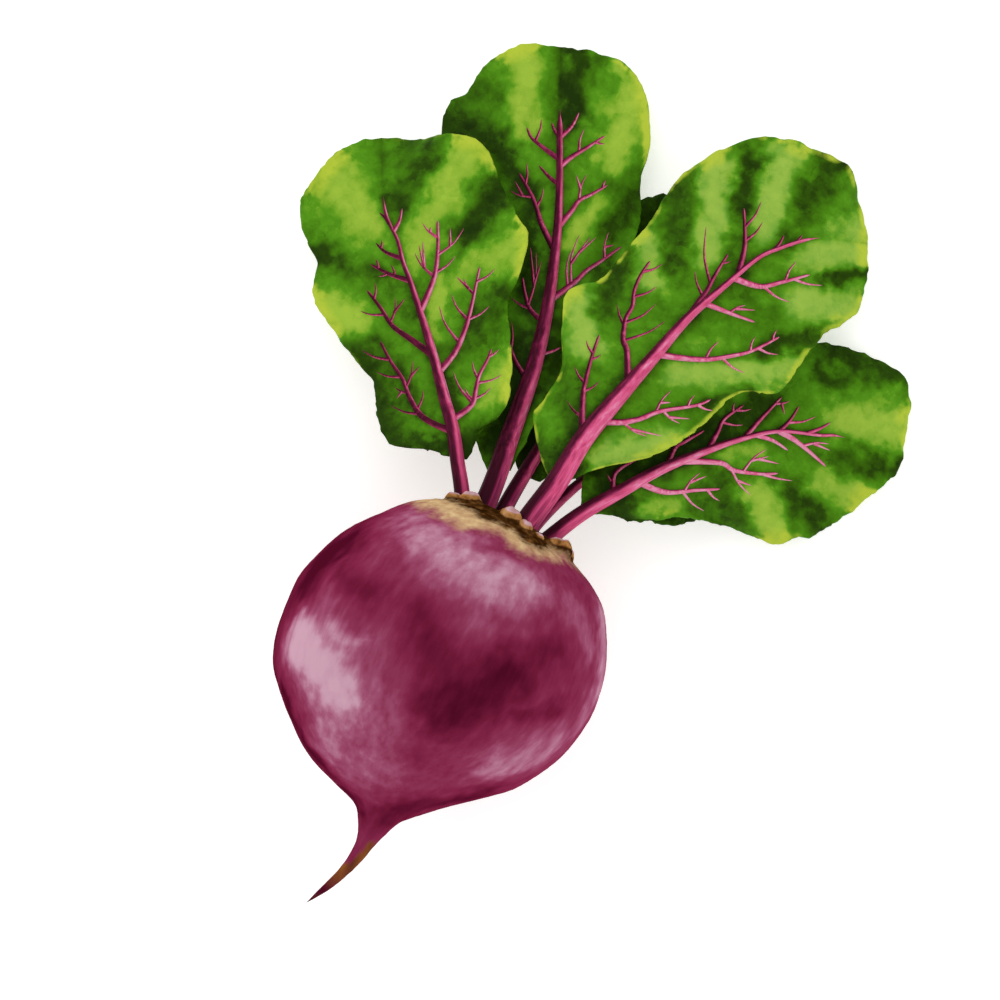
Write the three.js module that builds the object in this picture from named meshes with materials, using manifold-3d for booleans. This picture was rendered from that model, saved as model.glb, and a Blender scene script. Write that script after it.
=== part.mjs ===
// A beetroot as pulled from the ground: a round root with a long thin tail and a corky crown, and six
// leaves, each a fleshy stalk that runs on as the midrib of a waved blade.
// Millimetres, +Z up. The root lies on its side, its tail towards -Y and its leaves towards +Y, and the
// origin is the middle of the small flat spot that it rests on.

import * as THREE from 'three';
import { mergeVertices } from 'three/addons/utils/BufferGeometryUtils.js';
import Module from 'manifold-3d';

// ---- Driving dimensions ----

const AXIS_HEIGHT = 43.8; // the middle of the bulb above the surface, a little less than its radius
const CROWN_DROP = THREE.MathUtils.degToRad(8); // the leaves' weight pulls the crown end down
const ROOM = 400; // larger than the whole beetroot
const ROOT_RINGS = 38;
const ROOT_SEGMENTS = 32;
const LOBE_DEPTH = 0.011; // how far the bulb swells and sinks round its axis, as a share of its radius

const SOCKET_GAP = 0.45; // between a stalk's base and the crown that it grows from
const SOCKET_SHARES = [0.04, 0.08, 0.12, 0.16]; // the socket follows the rib's curve at these shares of it
const STALK_SIDES = 8;
const STALK_STEP = 5.5;
const RIB_TAPER = 1.3; // above 1, a rib keeps its thickness near the crown and thins towards the tip
const VEIN_SIDES = 4;
const VEIN_STEP = 3.5;
const VEIN_RADIUS = [0.8, 0.42]; // a side vein's radius where it leaves the rib and at its end
const VEIN_GAP = 0.5; // between the ribs and the blade under them
const CLEARANCE = 0.3; // the least gap between a stalk and its blade
const ROOM_DEPTH = 6; // how far below a blade's top its stalk is cut away

const BLADE_THICKNESS = 1;
const FLOOR_GAP = 0.3; // the least height of a blade's underside
const RUFFLE = 2.1; // how far a blade's edge rises and dips along the folds
const RUFFLED_WIDTH = 12; // a half-blade narrower than this is ruffled less
const ARCH = 1.6; // how far the blade swells between its rib and its edge
const ARCHED_WIDTH = 25; // a half-blade narrower than this swells less
const FOLD_LAG = 0.18; // how far the folds lean towards the leaf's tip
const RIB_STANDS_OUT = 0.3; // how far a rib's middle lies above the blade beside it, in rib radii
const GROOVE_FLOOR = 0.35; // half the width of the flat floor of the groove under a rib, in rib radii
const GROOVE_HALF_WIDTH = 2.3; // in rib radii
const GROOVE_MOST = 0.4; // the most of a half-blade's width that the groove takes
const GROOVE_COLUMNS = [0, 0.33, 0.6, 1]; // where the blade's columns lie from the groove's middle out
const GROOVE_RUNOUT = 0.05; // the share of a rib's length by which its groove runs on past its end
const RIB_SAMPLES = 240; // points tried in finding the nearest point of a rib

// The root's outline from tail to crown: [place along the axis, radius, sideways shift of the middle].
const ROOT_OUTLINE = [
  [-79.5, 0, -1.2],
  [-73, 1.1, 1.8],
  [-67, 1.5, 4],
  [-61.5, 2, 5.3],
  [-56, 2.8, 5.7],
  [-50.5, 5, 5.2],
  [-47.5, 7.2, 4.2],
  [-45, 12, 1.2],
  [-42, 17.4, -1.5],
  [-39, 21.5, -2.6],
  [-33.5, 27.9, -3],
  [-28, 33.6, -3],
  [-22.5, 38.5, -2.7],
  [-14, 42.6, -1.7],
  [-5.5, 44.7, -0.8],
  [3, 45.2, -0.3],
  [11, 43.7, 0.4],
  [17, 42, 0.8],
  [22.5, 39.2, 1.3],
  [28, 35.4, 2.1],
  [31, 33.2, 2.5],
  [34, 30.4, 2.6],
  [37, 26, 2.4],
  [39, 21.6, 2],
  [40.7, 18.2, 1.7],
  [41.8, 15.2, 1.5],
  [41.4, 10, 1.5],
  [41, 0, 1.5],
];

// The worn stubs of old leaves round the crown's rim: [degrees from the top, radius].
const CROWN_RIM = { along: 41, radius: 16.8, shift: 1.4 };
const KNOB_SIDES = 8;
const KNOB_RINGS = 5;
const KNOB_FLATNESS = 0.85;
const KNOBS = [
  [-66, 2.4],
  [-55, 3],
  [-9, 2.6],
  [1, 3.1],
  [23, 2.1],
  [61, 3.4],
  [70, 2.7],
  [103, 3],
  [138, 3.4],
  [168, 2.5],
  [-150, 3.3],
  [-118, 2.8],
  [-92, 2.3],
];

// The leaves, in their order across the crown. rib runs from inside the crown to the tip of the blade;
// left and right are the blade's two edges from its base up to the tip, seen from above; ribRadius is the
// stalk's radius at its base and at ribEnd, the share of the way where the rib fades out. folds says where
// the edge dips and lifts in turn, starting with a dip: 0 is the left base, 1 the tip, 2 the right base.
// veins are the main side veins, each a route seen from above, from the rib outwards.
const LEAVES = [
  {
    name: '1',
    rib: [
      [-12.5, 35, 43.5], [-15, 42, 43], [-21, 50.5, 40.5], [-26, 57.5, 37.5], [-32, 64, 34],
      [-42.5, 75.5, 28], [-54.5, 87.5, 21.5], [-60, 92.5, 18.5], [-64.5, 97.5, 15.5], [-72, 104, 12],
      [-82, 121, 3],
    ],
    left: [
      [-22.5, 50.5, 40], [-29, 49.5, 37.5], [-39.5, 46, 33.5], [-47, 51.5, 29.5], [-52.5, 59, 25.5],
      [-65.5, 65, 19], [-78, 72.5, 13], [-82, 81.5, 10], [-92, 90.5, 5.5], [-93.5, 103, 3.5],
      [-89, 115.5, 3], [-82, 121, 3],
    ],
    right: [
      [-18.5, 52, 40], [-18.5, 61.5, 38], [-16, 68.5, 36.5], [-19, 80, 33.5], [-28.5, 95.5, 28.5],
      [-29.5, 104.5, 25.5], [-33.5, 116, 21.5], [-45, 124, 17], [-54.5, 132, 13], [-64, 131.5, 9.5],
      [-74, 124.5, 5.5], [-82, 121, 3],
    ],
    ribRadius: [2.1, 0.45],
    ribEnd: 0.83,
    folds: [0.24, 0.5, 0.67, 0.86, 1.04, 1.2, 1.36, 1.5, 1.67, 1.82, 1.93],
    veins: [
      [[-27, 56], [-36, 57], [-45, 63.5], [-55.5, 70]],
      [[-41.5, 72.5], [-54.5, 75.5], [-65.5, 81]],
      [[-56.5, 88.5], [-62, 88], [-68, 88]],
      [[-62, 92.5], [-65.5, 93.5], [-69.5, 94]],
      [[-26.5, 60.5], [-25, 67.5], [-26.5, 74.5], [-27, 82.5]],
      [[-36, 70.5], [-35.5, 80.5], [-37, 89], [-40.5, 101.5]],
      [[-49, 83], [-50.5, 90.5], [-52.5, 98], [-57, 107.5]],
      [[-66, 100], [-67.5, 106]],
    ],
  },
  {
    name: '2',
    rib: [
      [-8, 35, 39.5], [-8.5, 44.5, 38], [-9.5, 53.5, 35], [-11, 62.5, 31], [-13.5, 80, 25.5],
      [-16, 91.5, 22], [-19, 102, 19.5], [-23, 113, 16.5], [-27, 123, 14], [-32, 133.5, 11.5],
      [-40, 149, 7], [-49, 167, 3.5],
    ],
    left: [
      [-11, 51, 34.5], [-16.5, 55.5, 31.5], [-23, 62, 27.5], [-30, 74.5, 22], [-38, 89, 16.5],
      [-47.5, 103, 11.5], [-59, 116, 6.5], [-66, 126.5, 4.5], [-69.5, 137.5, 3.5], [-66.5, 145, 3.5],
      [-65, 154, 3.5], [-60.5, 161, 3.5], [-53.5, 165.5, 3.5], [-49, 167, 3.5],
    ],
    right: [
      [-6.5, 55, 34.5], [-6.5, 67.5, 29], [-6.5, 75.5, 26], [-5.5, 84, 23], [-7.5, 95.5, 19.5],
      [-6.5, 109, 16], [-5.5, 122.5, 13.5], [-6.5, 133.5, 12], [-11, 142.5, 10.5], [-14.5, 155, 8],
      [-20.5, 164.5, 6], [-29, 171, 4.5], [-38.5, 170.5, 3.5], [-49, 167, 3.5],
    ],
    ribRadius: [3, 0.5],
    ribEnd: 0.86,
    folds: [0.2, 0.45, 0.72, 0.96, 1.12, 1.26, 1.4, 1.55, 1.7, 1.85],
    veins: [
      [[-15, 79], [-19.5, 83], [-25, 88]],
      [[-18.5, 95.5], [-25, 100], [-28.5, 104.5]],
      [[-24.5, 115], [-34.5, 124], [-43, 130]],
      [[-32, 132], [-39, 134.5]],
      [[-35, 138.5], [-41.5, 140], [-47, 142.5]],
      [[-17, 102.5], [-13.5, 114.5], [-8, 125]],
      [[-25, 122], [-24.5, 131], [-19.5, 138.5]],
      [[-32.5, 137.5], [-30, 144.5], [-26.5, 150.5]],
      [[-37, 144.5], [-36, 153]],
    ],
  },
  {
    name: '3',
    rib: [
      [-1.5, 35, 34.5], [-3, 44, 34.5], [-2.5, 57.5, 26.5], [-2, 65, 22], [-1, 83.5, 14.5],
      [-1.5, 108.5, 9], [-3, 132.5, 4.5], [-4.5, 144, 3],
    ],
    left: [
      [-3.5, 55, 27.5], [-9, 61.5, 22.5], [-12.5, 72.5, 17], [-16, 88, 11.5], [-17.5, 103, 8],
      [-17, 120.5, 5], [-14.5, 133, 3.5], [-9, 139.5, 3], [-4.5, 144, 3],
    ],
    right: [
      [2.5, 56, 27.5], [7.5, 67, 21.5], [10.5, 80, 15.5], [13, 95, 10.5], [13.5, 110, 7.5],
      [12.5, 123.5, 5], [8.5, 135.5, 3.5], [2, 143.5, 3], [-4.5, 144, 3],
    ],
    ribRadius: [2.3, 0.5],
    ribEnd: 0.85,
    folds: [0.25, 0.5, 0.75, 1, 1.25, 1.5, 1.75],
    veins: [
      [[-1.5, 76], [-6, 84], [-11, 92]],
      [[-1, 93], [-6.5, 101], [-12, 110]],
      [[-1.5, 108], [-6.5, 117], [-11, 126]],
      [[-1.5, 84], [4, 91], [9, 100]],
      [[-1, 100], [4, 108], [8, 117]],
      [[-2, 117], [1.5, 125], [4, 132]],
    ],
  },
  {
    name: '4',
    rib: [
      [4, 35, 49], [4.5, 45, 50], [6.5, 58.5, 47.5], [7.5, 72, 43.5], [10.5, 86, 39],
      [14, 100.5, 34], [17.5, 115, 29], [20.5, 123, 25.5], [23.5, 130.5, 22], [27, 139, 18.5],
      [30.5, 144, 16.5], [39.5, 152.5, 12.5], [53, 158, 5],
    ],
    left: [
      [4, 58, 47], [-1, 62.5, 43.5], [-8, 71.5, 38], [-7.5, 77.5, 36], [-7, 86.5, 33.5],
      [-12, 96.5, 29.5], [-15.5, 106.5, 26.5], [-9, 114, 24.5], [-6, 126.5, 21.5], [-3.5, 137, 18.5],
      [-3.5, 145, 16], [-1, 153.5, 13], [7, 165.5, 9], [18, 173.5, 6.5], [27.5, 174.5, 5],
      [38.5, 174.5, 4], [47, 166, 4], [53, 158, 5],
    ],
    right: [
      [9, 59, 47], [15.5, 67, 43.5], [27.5, 77.5, 38], [35, 90.5, 33], [40.5, 104, 28],
      [50, 109.5, 23.5], [52, 121, 19.5], [54.5, 130.5, 15.5], [59, 138.5, 11], [57.5, 148.5, 7.5],
      [53, 158, 5],
    ],
    ribRadius: [3.3, 0.5],
    ribEnd: 0.88,
    folds: [
      0.17, 0.29, 0.41, 0.48, 0.56, 0.65, 0.73, 0.81, 0.9, 1.04, 1.14, 1.24, 1.35, 1.46, 1.6, 1.74, 1.88,
    ],
    veins: [
      [[5, 71.5], [1, 84.5], [-2, 100]],
      [[10, 91.5], [4.5, 102], [1, 115.5], [1, 125]],
      [[19, 116], [19, 125], [19.5, 137]],
      [[27, 132.5], [22, 142.5], [17.5, 150.5]],
      [[30.5, 144], [31, 149]],
      [[10.5, 78], [19, 84.5], [26.5, 92], [34, 98.5]],
      [[17, 102], [28, 108], [36.5, 114.5], [43, 123]],
      [[22.5, 120.5], [28, 122.5], [35, 123.5]],
      [[27, 130.5], [36, 136.5], [42.5, 142.5]],
    ],
  },
  {
    name: '5',
    rib: [
      [6.5, 35, 33], [7, 45, 30], [12.5, 61, 21.5], [20, 73, 14.5], [33.5, 81, 9.5],
      [51, 88.5, 5], [63.5, 89, 3],
    ],
    left: [
      [11, 61.5, 22], [11.5, 70, 18], [19, 81, 12.5], [31.5, 90.5, 8], [46, 96.5, 4.5],
      [58.5, 97, 3], [63.5, 89, 3],
    ],
    right: [
      [15.5, 59.5, 22], [22, 58, 18], [29.5, 57.5, 13.5], [34.5, 60.5, 11], [40.5, 62, 8.5],
      [48, 68, 5.5], [58, 77.5, 3.5], [63.5, 89, 3],
    ],
    ribRadius: [1.75, 0.5],
    ribEnd: 0.84,
    folds: [0.3, 0.6, 0.9, 1.15, 1.4, 1.65, 1.85],
    veins: [
      [[17, 69.5], [20.5, 76], [25, 82.5]],
      [[27, 78], [32, 84], [38, 89.5]],
      [[38, 83], [44, 89], [50, 93]],
      [[15, 66], [22, 64.5], [29, 63.5]],
      [[25, 77], [32, 73], [40, 69.5]],
      [[36, 82], [43, 80.5], [50, 78]],
    ],
  },
  {
    name: '6',
    rib: [
      [9.5, 35, 44], [11.5, 42, 43], [16.5, 53, 39.5], [23.5, 64, 34.5], [30.5, 74.5, 28.5],
      [38.5, 84, 22.5], [46.5, 92.5, 17], [55, 99.5, 12.5], [66, 104, 8.5], [72, 106.5, 6.5],
      [90, 109, 3],
    ],
    left: [
      [15.5, 55.5, 39.5], [13.5, 60, 37.5], [12, 67.5, 33.5], [18.5, 79, 27.5], [30, 93.5, 20],
      [39.5, 106, 15], [47.5, 120.5, 10.5], [54, 127, 8.5], [62, 129.5, 6.5], [71.5, 130.5, 4.5],
      [80, 129, 3.5], [84.5, 124, 3], [87, 116.5, 3], [90, 109, 3],
    ],
    right: [
      [19, 54.8, 38.5], [28, 58, 33], [36, 61.5, 27], [44, 66.5, 20.5], [54, 69, 13.5],
      [63, 70, 9], [69.5, 71, 6.5], [74, 76, 5], [77.5, 78, 4], [85, 91.5, 3], [89.5, 103, 3],
      [90, 109, 3],
    ],
    ribRadius: [2.3, 0.45],
    ribEnd: 0.84,
    folds: [0.3, 0.55, 0.72, 0.84, 1, 1.13, 1.24, 1.37, 1.55, 1.7, 1.85],
    veins: [
      [[21.5, 62.5], [20.5, 68.5], [24, 75]],
      [[31.5, 76.5], [32, 83], [36.5, 90]],
      [[39.5, 86], [39.5, 94.5], [43, 101.5]],
      [[47, 94], [49, 100], [51.5, 108.5]],
      [[55, 100], [57, 108.5]],
      [[62.5, 103], [67, 108.5]],
      [[27.5, 68], [36, 70.5], [48, 77.5]],
      [[34.5, 79], [44.5, 84], [60.5, 89]],
      [[50.5, 95.5], [60, 96]],
      [[55, 100], [62, 99], [71.5, 97]],
    ],
  },
];

const BLADE_GRIDS = { large: { rows: 24, columns: 6 }, small: { rows: 15, columns: 5 } };
const SMALL_LEAVES = ['3', '5'];

// ---- Finishes ----

const MATERIALS = {
  root: new THREE.MeshStandardMaterial({ color: 0x832848, roughness: 0.35, metalness: 0 }),
  stalk: new THREE.MeshStandardMaterial({ color: 0xa1385e, roughness: 0.4, metalness: 0 }),
  blade: new THREE.MeshStandardMaterial({ color: 0x497b1c, roughness: 0.5, metalness: 0 }),
};

// ---- Solids ----

const solids = await Module();
solids.setup();

// A closed geometry as a solid, its shared points merged and its collapsed triangles left out.
function toSolid(geometry) {
  const bare = geometry.clone();
  bare.deleteAttribute('normal');
  bare.deleteAttribute('uv');
  const merged = mergeVertices(bare, 1e-4);
  const corners = [];
  for (let i = 0; i < merged.index.count; i += 3) {
    const [a, b, c] = [merged.index.getX(i), merged.index.getX(i + 1), merged.index.getX(i + 2)];
    if (a !== b && b !== c && c !== a) corners.push(a, b, c);
  }
  return new solids.Manifold(new solids.Mesh({
    numProp: 3,
    vertProperties: Float32Array.from(merged.attributes.position.array),
    triVerts: Uint32Array.from(corners),
  }));
}

// A solid as a named mesh.
function toMesh(solid, name, material) {
  const { vertProperties, triVerts } = solid.getMesh();
  const geometry = new THREE.BufferGeometry();
  geometry.setAttribute('position', new THREE.BufferAttribute(vertProperties, 3));
  geometry.setIndex(new THREE.BufferAttribute(triVerts, 1));
  geometry.computeVertexNormals();
  const mesh = new THREE.Mesh(geometry, material);
  mesh.name = name;
  return mesh;
}

// Moves every point of a geometry by a rule.
function reshape(geometry, rule) {
  const position = geometry.attributes.position;
  const point = new THREE.Vector3();
  for (let i = 0; i < position.count; i++) {
    point.fromBufferAttribute(position, i);
    rule(point);
    position.setXYZ(i, point.x, point.y, point.z);
  }
  return geometry;
}

// A smooth open curve through points.
function curveThrough(points) {
  const stops = points.map(([x, y, z]) => new THREE.Vector3(x, y, z));
  return new THREE.CatmullRomCurve3(stops, false, 'catmullrom', 0.5);
}

// A round tube along a curve, whose radius follows a rule of the share of the way along it.
function taperedTube(curve, radiusAt, sides, step) {
  const steps = Math.max(2, Math.round(curve.getLength() / step));
  const corners = [];
  for (let k = 0; k < sides; k++) {
    const angle = (k / sides) * 2 * Math.PI;
    corners.push(new THREE.Vector2(Math.cos(angle), Math.sin(angle)));
  }
  const tube = new THREE.ExtrudeGeometry(new THREE.Shape(corners), { steps, extrudePath: curve });
  const centres = curve.getSpacedPoints(steps);
  return reshape(tube, (point) => {
    const distances = centres.map((centre) => centre.distanceTo(point));
    const ring = distances.indexOf(Math.min(...distances));
    point.sub(centres[ring]).multiplyScalar(radiusAt(ring / steps)).add(centres[ring]);
  });
}

// ---- Root ----

// Turns a shape built round the Y axis into the root's lie: crown end down, on its flat spot.
function layDown(geometry) {
  return geometry.rotateX(-CROWN_DROP).translate(0, 0, AXIS_HEIGHT);
}

// The sideways shift of the root's middle at a place along its axis.
function rootShift(along) {
  const next = THREE.MathUtils.clamp(ROOT_OUTLINE.findIndex(([y]) => y >= along), 1, ROOT_OUTLINE.length);
  const [fromY, , fromShift] = ROOT_OUTLINE[next - 1];
  const [toY, , toShift] = ROOT_OUTLINE[next];
  return THREE.MathUtils.lerp(fromShift, toShift, (along - fromY) / (toY - fromY));
}

// The bulb, tail and crown: a turned outline, swelled and sunk a little round its axis.
function rootBody() {
  const outline = new THREE.SplineCurve(ROOT_OUTLINE.map(([y, radius]) => new THREE.Vector2(radius, y)));
  const profile = outline.getPoints(ROOT_RINGS).map(({ x, y }) => new THREE.Vector2(Math.max(x, 0), y));
  const body = new THREE.LatheGeometry(profile, ROOT_SEGMENTS);
  reshape(body, (point) => {
    const angle = Math.atan2(point.x, point.z);
    const lobes = 1 + LOBE_DEPTH * (Math.cos(3 * angle + 0.6) + 0.7 * Math.sin(5 * angle));
    point.x = point.x * lobes + rootShift(point.y);
    point.z *= lobes;
  });
  return toSolid(layDown(body));
}

// A stub of an old leaf, sunk in the crown's rim.
function crownKnob([degrees, radius]) {
  const angle = THREE.MathUtils.degToRad(degrees);
  const knob = new THREE.SphereGeometry(radius, KNOB_SIDES, KNOB_RINGS);
  knob.scale(1, KNOB_FLATNESS, 1);
  knob.rotateZ(angle);
  knob.translate(
    CROWN_RIM.shift + CROWN_RIM.radius * Math.sin(angle),
    CROWN_RIM.along,
    CROWN_RIM.radius * Math.cos(angle),
  );
  return toSolid(layDown(knob));
}

// Everything above the surface: what is left of the root inside it has the flat spot.
function aboveSurface() {
  return toSolid(new THREE.BoxGeometry(ROOM, ROOM, ROOM).translate(0, 0, ROOM / 2));
}

// ---- Leaves ----

// A leaf's curves, and the share of its rib where the blade begins.
function leafCurves(leaf) {
  const rib = curveThrough(leaf.rib);
  const left = curveThrough(leaf.left);
  const right = curveThrough(leaf.right);
  const ribPoints = rib.getSpacedPoints(RIB_SAMPLES);
  const base = left.getPoint(0).lerp(right.getPoint(0), 0.5);
  const distances = ribPoints.map((point) => point.distanceTo(base));
  const bladeStart = distances.indexOf(Math.min(...distances)) / RIB_SAMPLES;
  return { rib, left, right, ribPoints, bladeStart };
}

function ribRadius(leaf, share) {
  const [base, end] = leaf.ribRadius;
  return THREE.MathUtils.lerp(base, end, Math.min(share / leaf.ribEnd, 1) ** RIB_TAPER);
}

// How far the edge is lifted or dipped, from -1 to 1, at a place round it from 0 to 2.
function fold(leaf, around) {
  const places = [0, ...leaf.folds, 2];
  const heights = [0, ...leaf.folds.map((place, i) => (i % 2 === 0 ? -1 : 1)), 0];
  const next = Math.max(1, places.findIndex((place) => place >= around));
  const share = (around - places[next - 1]) / (places[next] - places[next - 1]);
  const eased = (1 - Math.cos(Math.PI * share)) / 2;
  return THREE.MathUtils.lerp(heights[next - 1], heights[next], eased);
}

// How deep the groove under the rib is, from 1 at its middle to 0, at a distance counted in rib radii.
function groove(distance) {
  return 1 - THREE.MathUtils.smoothstep(distance, GROOVE_FLOOR, GROOVE_HALF_WIDTH);
}

// The point of a rib nearest to a place seen from above, its distance and the rib's radius there, which
// is 0 where the groove has run out.
function nearestOnRib(leaf, curves, place) {
  const distances = curves.ribPoints.map((point) => Math.hypot(point.x - place.x, point.y - place.y));
  const distance = Math.min(...distances);
  const index = distances.indexOf(distance);
  const share = index / RIB_SAMPLES;
  const radius = share < leaf.ribEnd + GROOVE_RUNOUT ? ribRadius(leaf, share) : 0;
  return { point: curves.ribPoints[index], distance, radius };
}

// The top of a blade: along runs from 0 at its base to 1 at its tip, column from -columns to columns.
function bladePoint(leaf, curves, along, column, columns) {
  const leaned = along - FOLD_LAG * Math.sin(Math.PI * along);
  const share = curves.bladeStart + (1 - curves.bladeStart) * leaned;
  const middle = curves.rib.getPointAt(share);
  const edge = (column < 0 ? curves.left : curves.right).getPointAt(along);
  const width = Math.hypot(edge.x - middle.x, edge.y - middle.y);
  const across = acrossShare(Math.abs(column), columns, ribRadius(leaf, share), width);
  const point = middle.clone().lerp(edge, across);
  const rib = nearestOnRib(leaf, curves, point);
  const around = column < 0 ? along : 2 - along;
  const ruffle = RUFFLE * fold(leaf, around) * across ** 2 * Math.min(1, width / RUFFLED_WIDTH);
  const arch = ARCH * Math.sin(Math.PI * across) * Math.min(1, width / ARCHED_WIDTH);
  point.z = THREE.MathUtils.lerp(rib.point.z, edge.z, across) + ruffle + arch;
  if (rib.radius > 0) {
    const depth = (1 - RIB_STANDS_OUT) * rib.radius + VEIN_GAP;
    point.z -= RIB_STANDS_OUT * rib.radius + depth * groove(rib.distance / rib.radius);
  }
  point.z = Math.max(point.z, FLOOR_GAP + BLADE_THICKNESS);
  return point;
}

// The share of the half-width at which a column lies: the first few on the groove, the others even.
function acrossShare(column, columns, radius, width) {
  const grooveShare = Math.min((GROOVE_HALF_WIDTH * radius) / Math.max(width, radius), GROOVE_MOST);
  const last = GROOVE_COLUMNS.length - 1;
  if (column <= last) return grooveShare * GROOVE_COLUMNS[column];
  return THREE.MathUtils.lerp(grooveShare, 1, (column - last) / (columns - last));
}

// A blade as a closed sheet: a grid for its top, the same grid turned over for its underside, and a rim.
function bladeSolid(leaf, curves, { rows, columns }, lift, thickness) {
  const grid = new THREE.PlaneGeometry(2 * columns, rows, 2 * columns, rows);
  reshape(grid, (point) => {
    point.copy(bladePoint(leaf, curves, point.y / rows + 0.5, Math.round(point.x), columns));
  });
  const count = grid.attributes.position.count;
  const top = Array.from(grid.translate(0, 0, lift).attributes.position.array);
  const bottom = top.map((value, i) => (i % 3 === 2 ? value - thickness : value));
  const triangles = [];
  for (let i = 0; i < grid.index.count; i += 3) {
    const [a, b, c] = [grid.index.getX(i), grid.index.getX(i + 1), grid.index.getX(i + 2)];
    triangles.push(a, b, c, count + a, count + c, count + b);
  }
  const rim = rimOf(2 * columns, rows);
  rim.forEach((a, i) => {
    const b = rim[(i + 1) % rim.length];
    triangles.push(count + a, count + b, b, count + a, b, a);
  });
  const sheet = new THREE.BufferGeometry();
  sheet.setAttribute('position', new THREE.Float32BufferAttribute([...top, ...bottom], 3));
  sheet.setIndex(triangles);
  return toSolid(sheet);
}

// The numbers of a plane grid's border points, counterclockwise from its lower left corner.
function rimOf(across, along) {
  const at = (column, row) => row * (across + 1) + column;
  const rim = [];
  for (let column = 0; column < across; column++) rim.push(at(column, along));
  for (let row = along; row > 0; row--) rim.push(at(across, row));
  for (let column = across; column > 0; column--) rim.push(at(column, 0));
  for (let row = 0; row < along; row++) rim.push(at(0, row));
  return rim;
}

// The height of a blade's top at a place seen from above, or null beside it.
function heightOn(blade, x, y) {
  const ray = new THREE.Raycaster(new THREE.Vector3(x, y, 200), new THREE.Vector3(0, 0, -1));
  const [hit] = ray.intersectObject(blade);
  return hit ? hit.point.z : null;
}

// A side vein: it leaves the rib's core and lies just over the blade.
function sideVein(leaf, curves, blade, route) {
  const from = nearestOnRib(leaf, curves, new THREE.Vector3(...route[0], 0));
  const plan = new THREE.SplineCurve(route.map(([x, y]) => new THREE.Vector2(x, y)));
  const steps = Math.max(2, Math.round(plan.getLength() / VEIN_STEP));
  const points = [from.point.toArray()];
  for (let i = 1; i <= steps; i++) {
    const { x, y } = plan.getPointAt(i / steps);
    const surface = heightOn(blade, x, y);
    const clear = nearestOnRib(leaf, curves, { x, y }).distance > 1.3 * from.radius;
    const lift = THREE.MathUtils.lerp(...VEIN_RADIUS, i / steps) + VEIN_GAP;
    if (clear && surface !== null) points.push([x, y, surface + lift]);
  }
  const radiusAt = (along) => THREE.MathUtils.lerp(...VEIN_RADIUS, along);
  return toSolid(taperedTube(curveThrough(points), radiusAt, VEIN_SIDES, VEIN_STEP));
}

// A stalk with its rib and side veins, cut clear of the room that its blade takes up.
function stalkSolid(leaf, curves, blade, room) {
  const pieces = Math.round(curves.rib.getLength() / STALK_STEP);
  const stops = [];
  for (let i = 0; i <= pieces; i++) stops.push(curves.rib.getPointAt((leaf.ribEnd * i) / pieces).toArray());
  const radiusAt = (along) => ribRadius(leaf, along * leaf.ribEnd);
  const tube = taperedTube(curveThrough(stops), radiusAt, STALK_SIDES, STALK_STEP);
  const veins = leaf.veins.map((route) => sideVein(leaf, curves, blade, route));
  const stalk = veins.reduce((solid, vein) => solid.add(vein), toSolid(tube));
  return stalk.subtract(room);
}

// The socket that a stalk leaves in the crown: its own base, a little larger all round.
function socketSolid(leaf, curves) {
  const start = curves.rib.getPointAt(0).addScaledVector(curves.rib.getTangentAt(0), -SOCKET_GAP);
  const stops = [start, ...SOCKET_SHARES.map((share) => curves.rib.getPointAt(share))];
  const route = curveThrough(stops.map((stop) => stop.toArray()));
  const radius = leaf.ribRadius[0] + SOCKET_GAP;
  return toSolid(taperedTube(route, () => radius, STALK_SIDES, STALK_STEP));
}

// ---- Assembly ----

const beetroot = new THREE.Group();
beetroot.name = 'beetroot';

let root = KNOBS.reduce((solid, knob) => solid.add(crownKnob(knob)), rootBody()).intersect(aboveSurface());
for (const leaf of LEAVES) {
  const curves = leafCurves(leaf);
  const grid = BLADE_GRIDS[SMALL_LEAVES.includes(leaf.name) ? 'small' : 'large'];
  const sheet = bladeSolid(leaf, curves, grid, 0, BLADE_THICKNESS);
  const room = bladeSolid(leaf, curves, grid, CLEARANCE, ROOM_DEPTH);
  const blade = toMesh(sheet, `blade_${leaf.name}`, MATERIALS.blade);
  const stalk = toMesh(stalkSolid(leaf, curves, blade, room), `stalk_${leaf.name}`, MATERIALS.stalk);
  root = root.subtract(socketSolid(leaf, curves));
  beetroot.add(stalk, blade);
}
beetroot.add(toMesh(root, 'root', MATERIALS.root));

export default beetroot;
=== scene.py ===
"""A beetroot as pulled from the ground: the fine root, stalks and leaf blades that dress its solids.

The lists are in millimetres and the meshes in metres, +Z up. The root lies on its flat spot with its
tail towards -Y and its leaves towards +Y, as the solids do.
"""

import math

import bmesh
import bpy
import numpy as np
from mathutils import Matrix, Vector, noise
from mathutils.bvhtree import BVHTree


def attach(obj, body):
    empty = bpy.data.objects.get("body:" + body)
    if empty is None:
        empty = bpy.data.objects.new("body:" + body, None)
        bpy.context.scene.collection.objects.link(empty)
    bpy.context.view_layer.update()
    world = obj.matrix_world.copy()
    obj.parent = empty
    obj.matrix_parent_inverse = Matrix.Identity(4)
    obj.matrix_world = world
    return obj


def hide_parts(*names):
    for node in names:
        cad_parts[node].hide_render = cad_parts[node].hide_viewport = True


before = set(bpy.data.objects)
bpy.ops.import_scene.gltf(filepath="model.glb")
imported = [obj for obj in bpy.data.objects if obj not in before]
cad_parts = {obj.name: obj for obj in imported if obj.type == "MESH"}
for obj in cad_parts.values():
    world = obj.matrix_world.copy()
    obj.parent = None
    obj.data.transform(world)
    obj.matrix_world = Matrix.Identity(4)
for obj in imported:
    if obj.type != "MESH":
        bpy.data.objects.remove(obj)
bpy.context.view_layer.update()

MM = 0.001

# ---- The root ----

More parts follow.
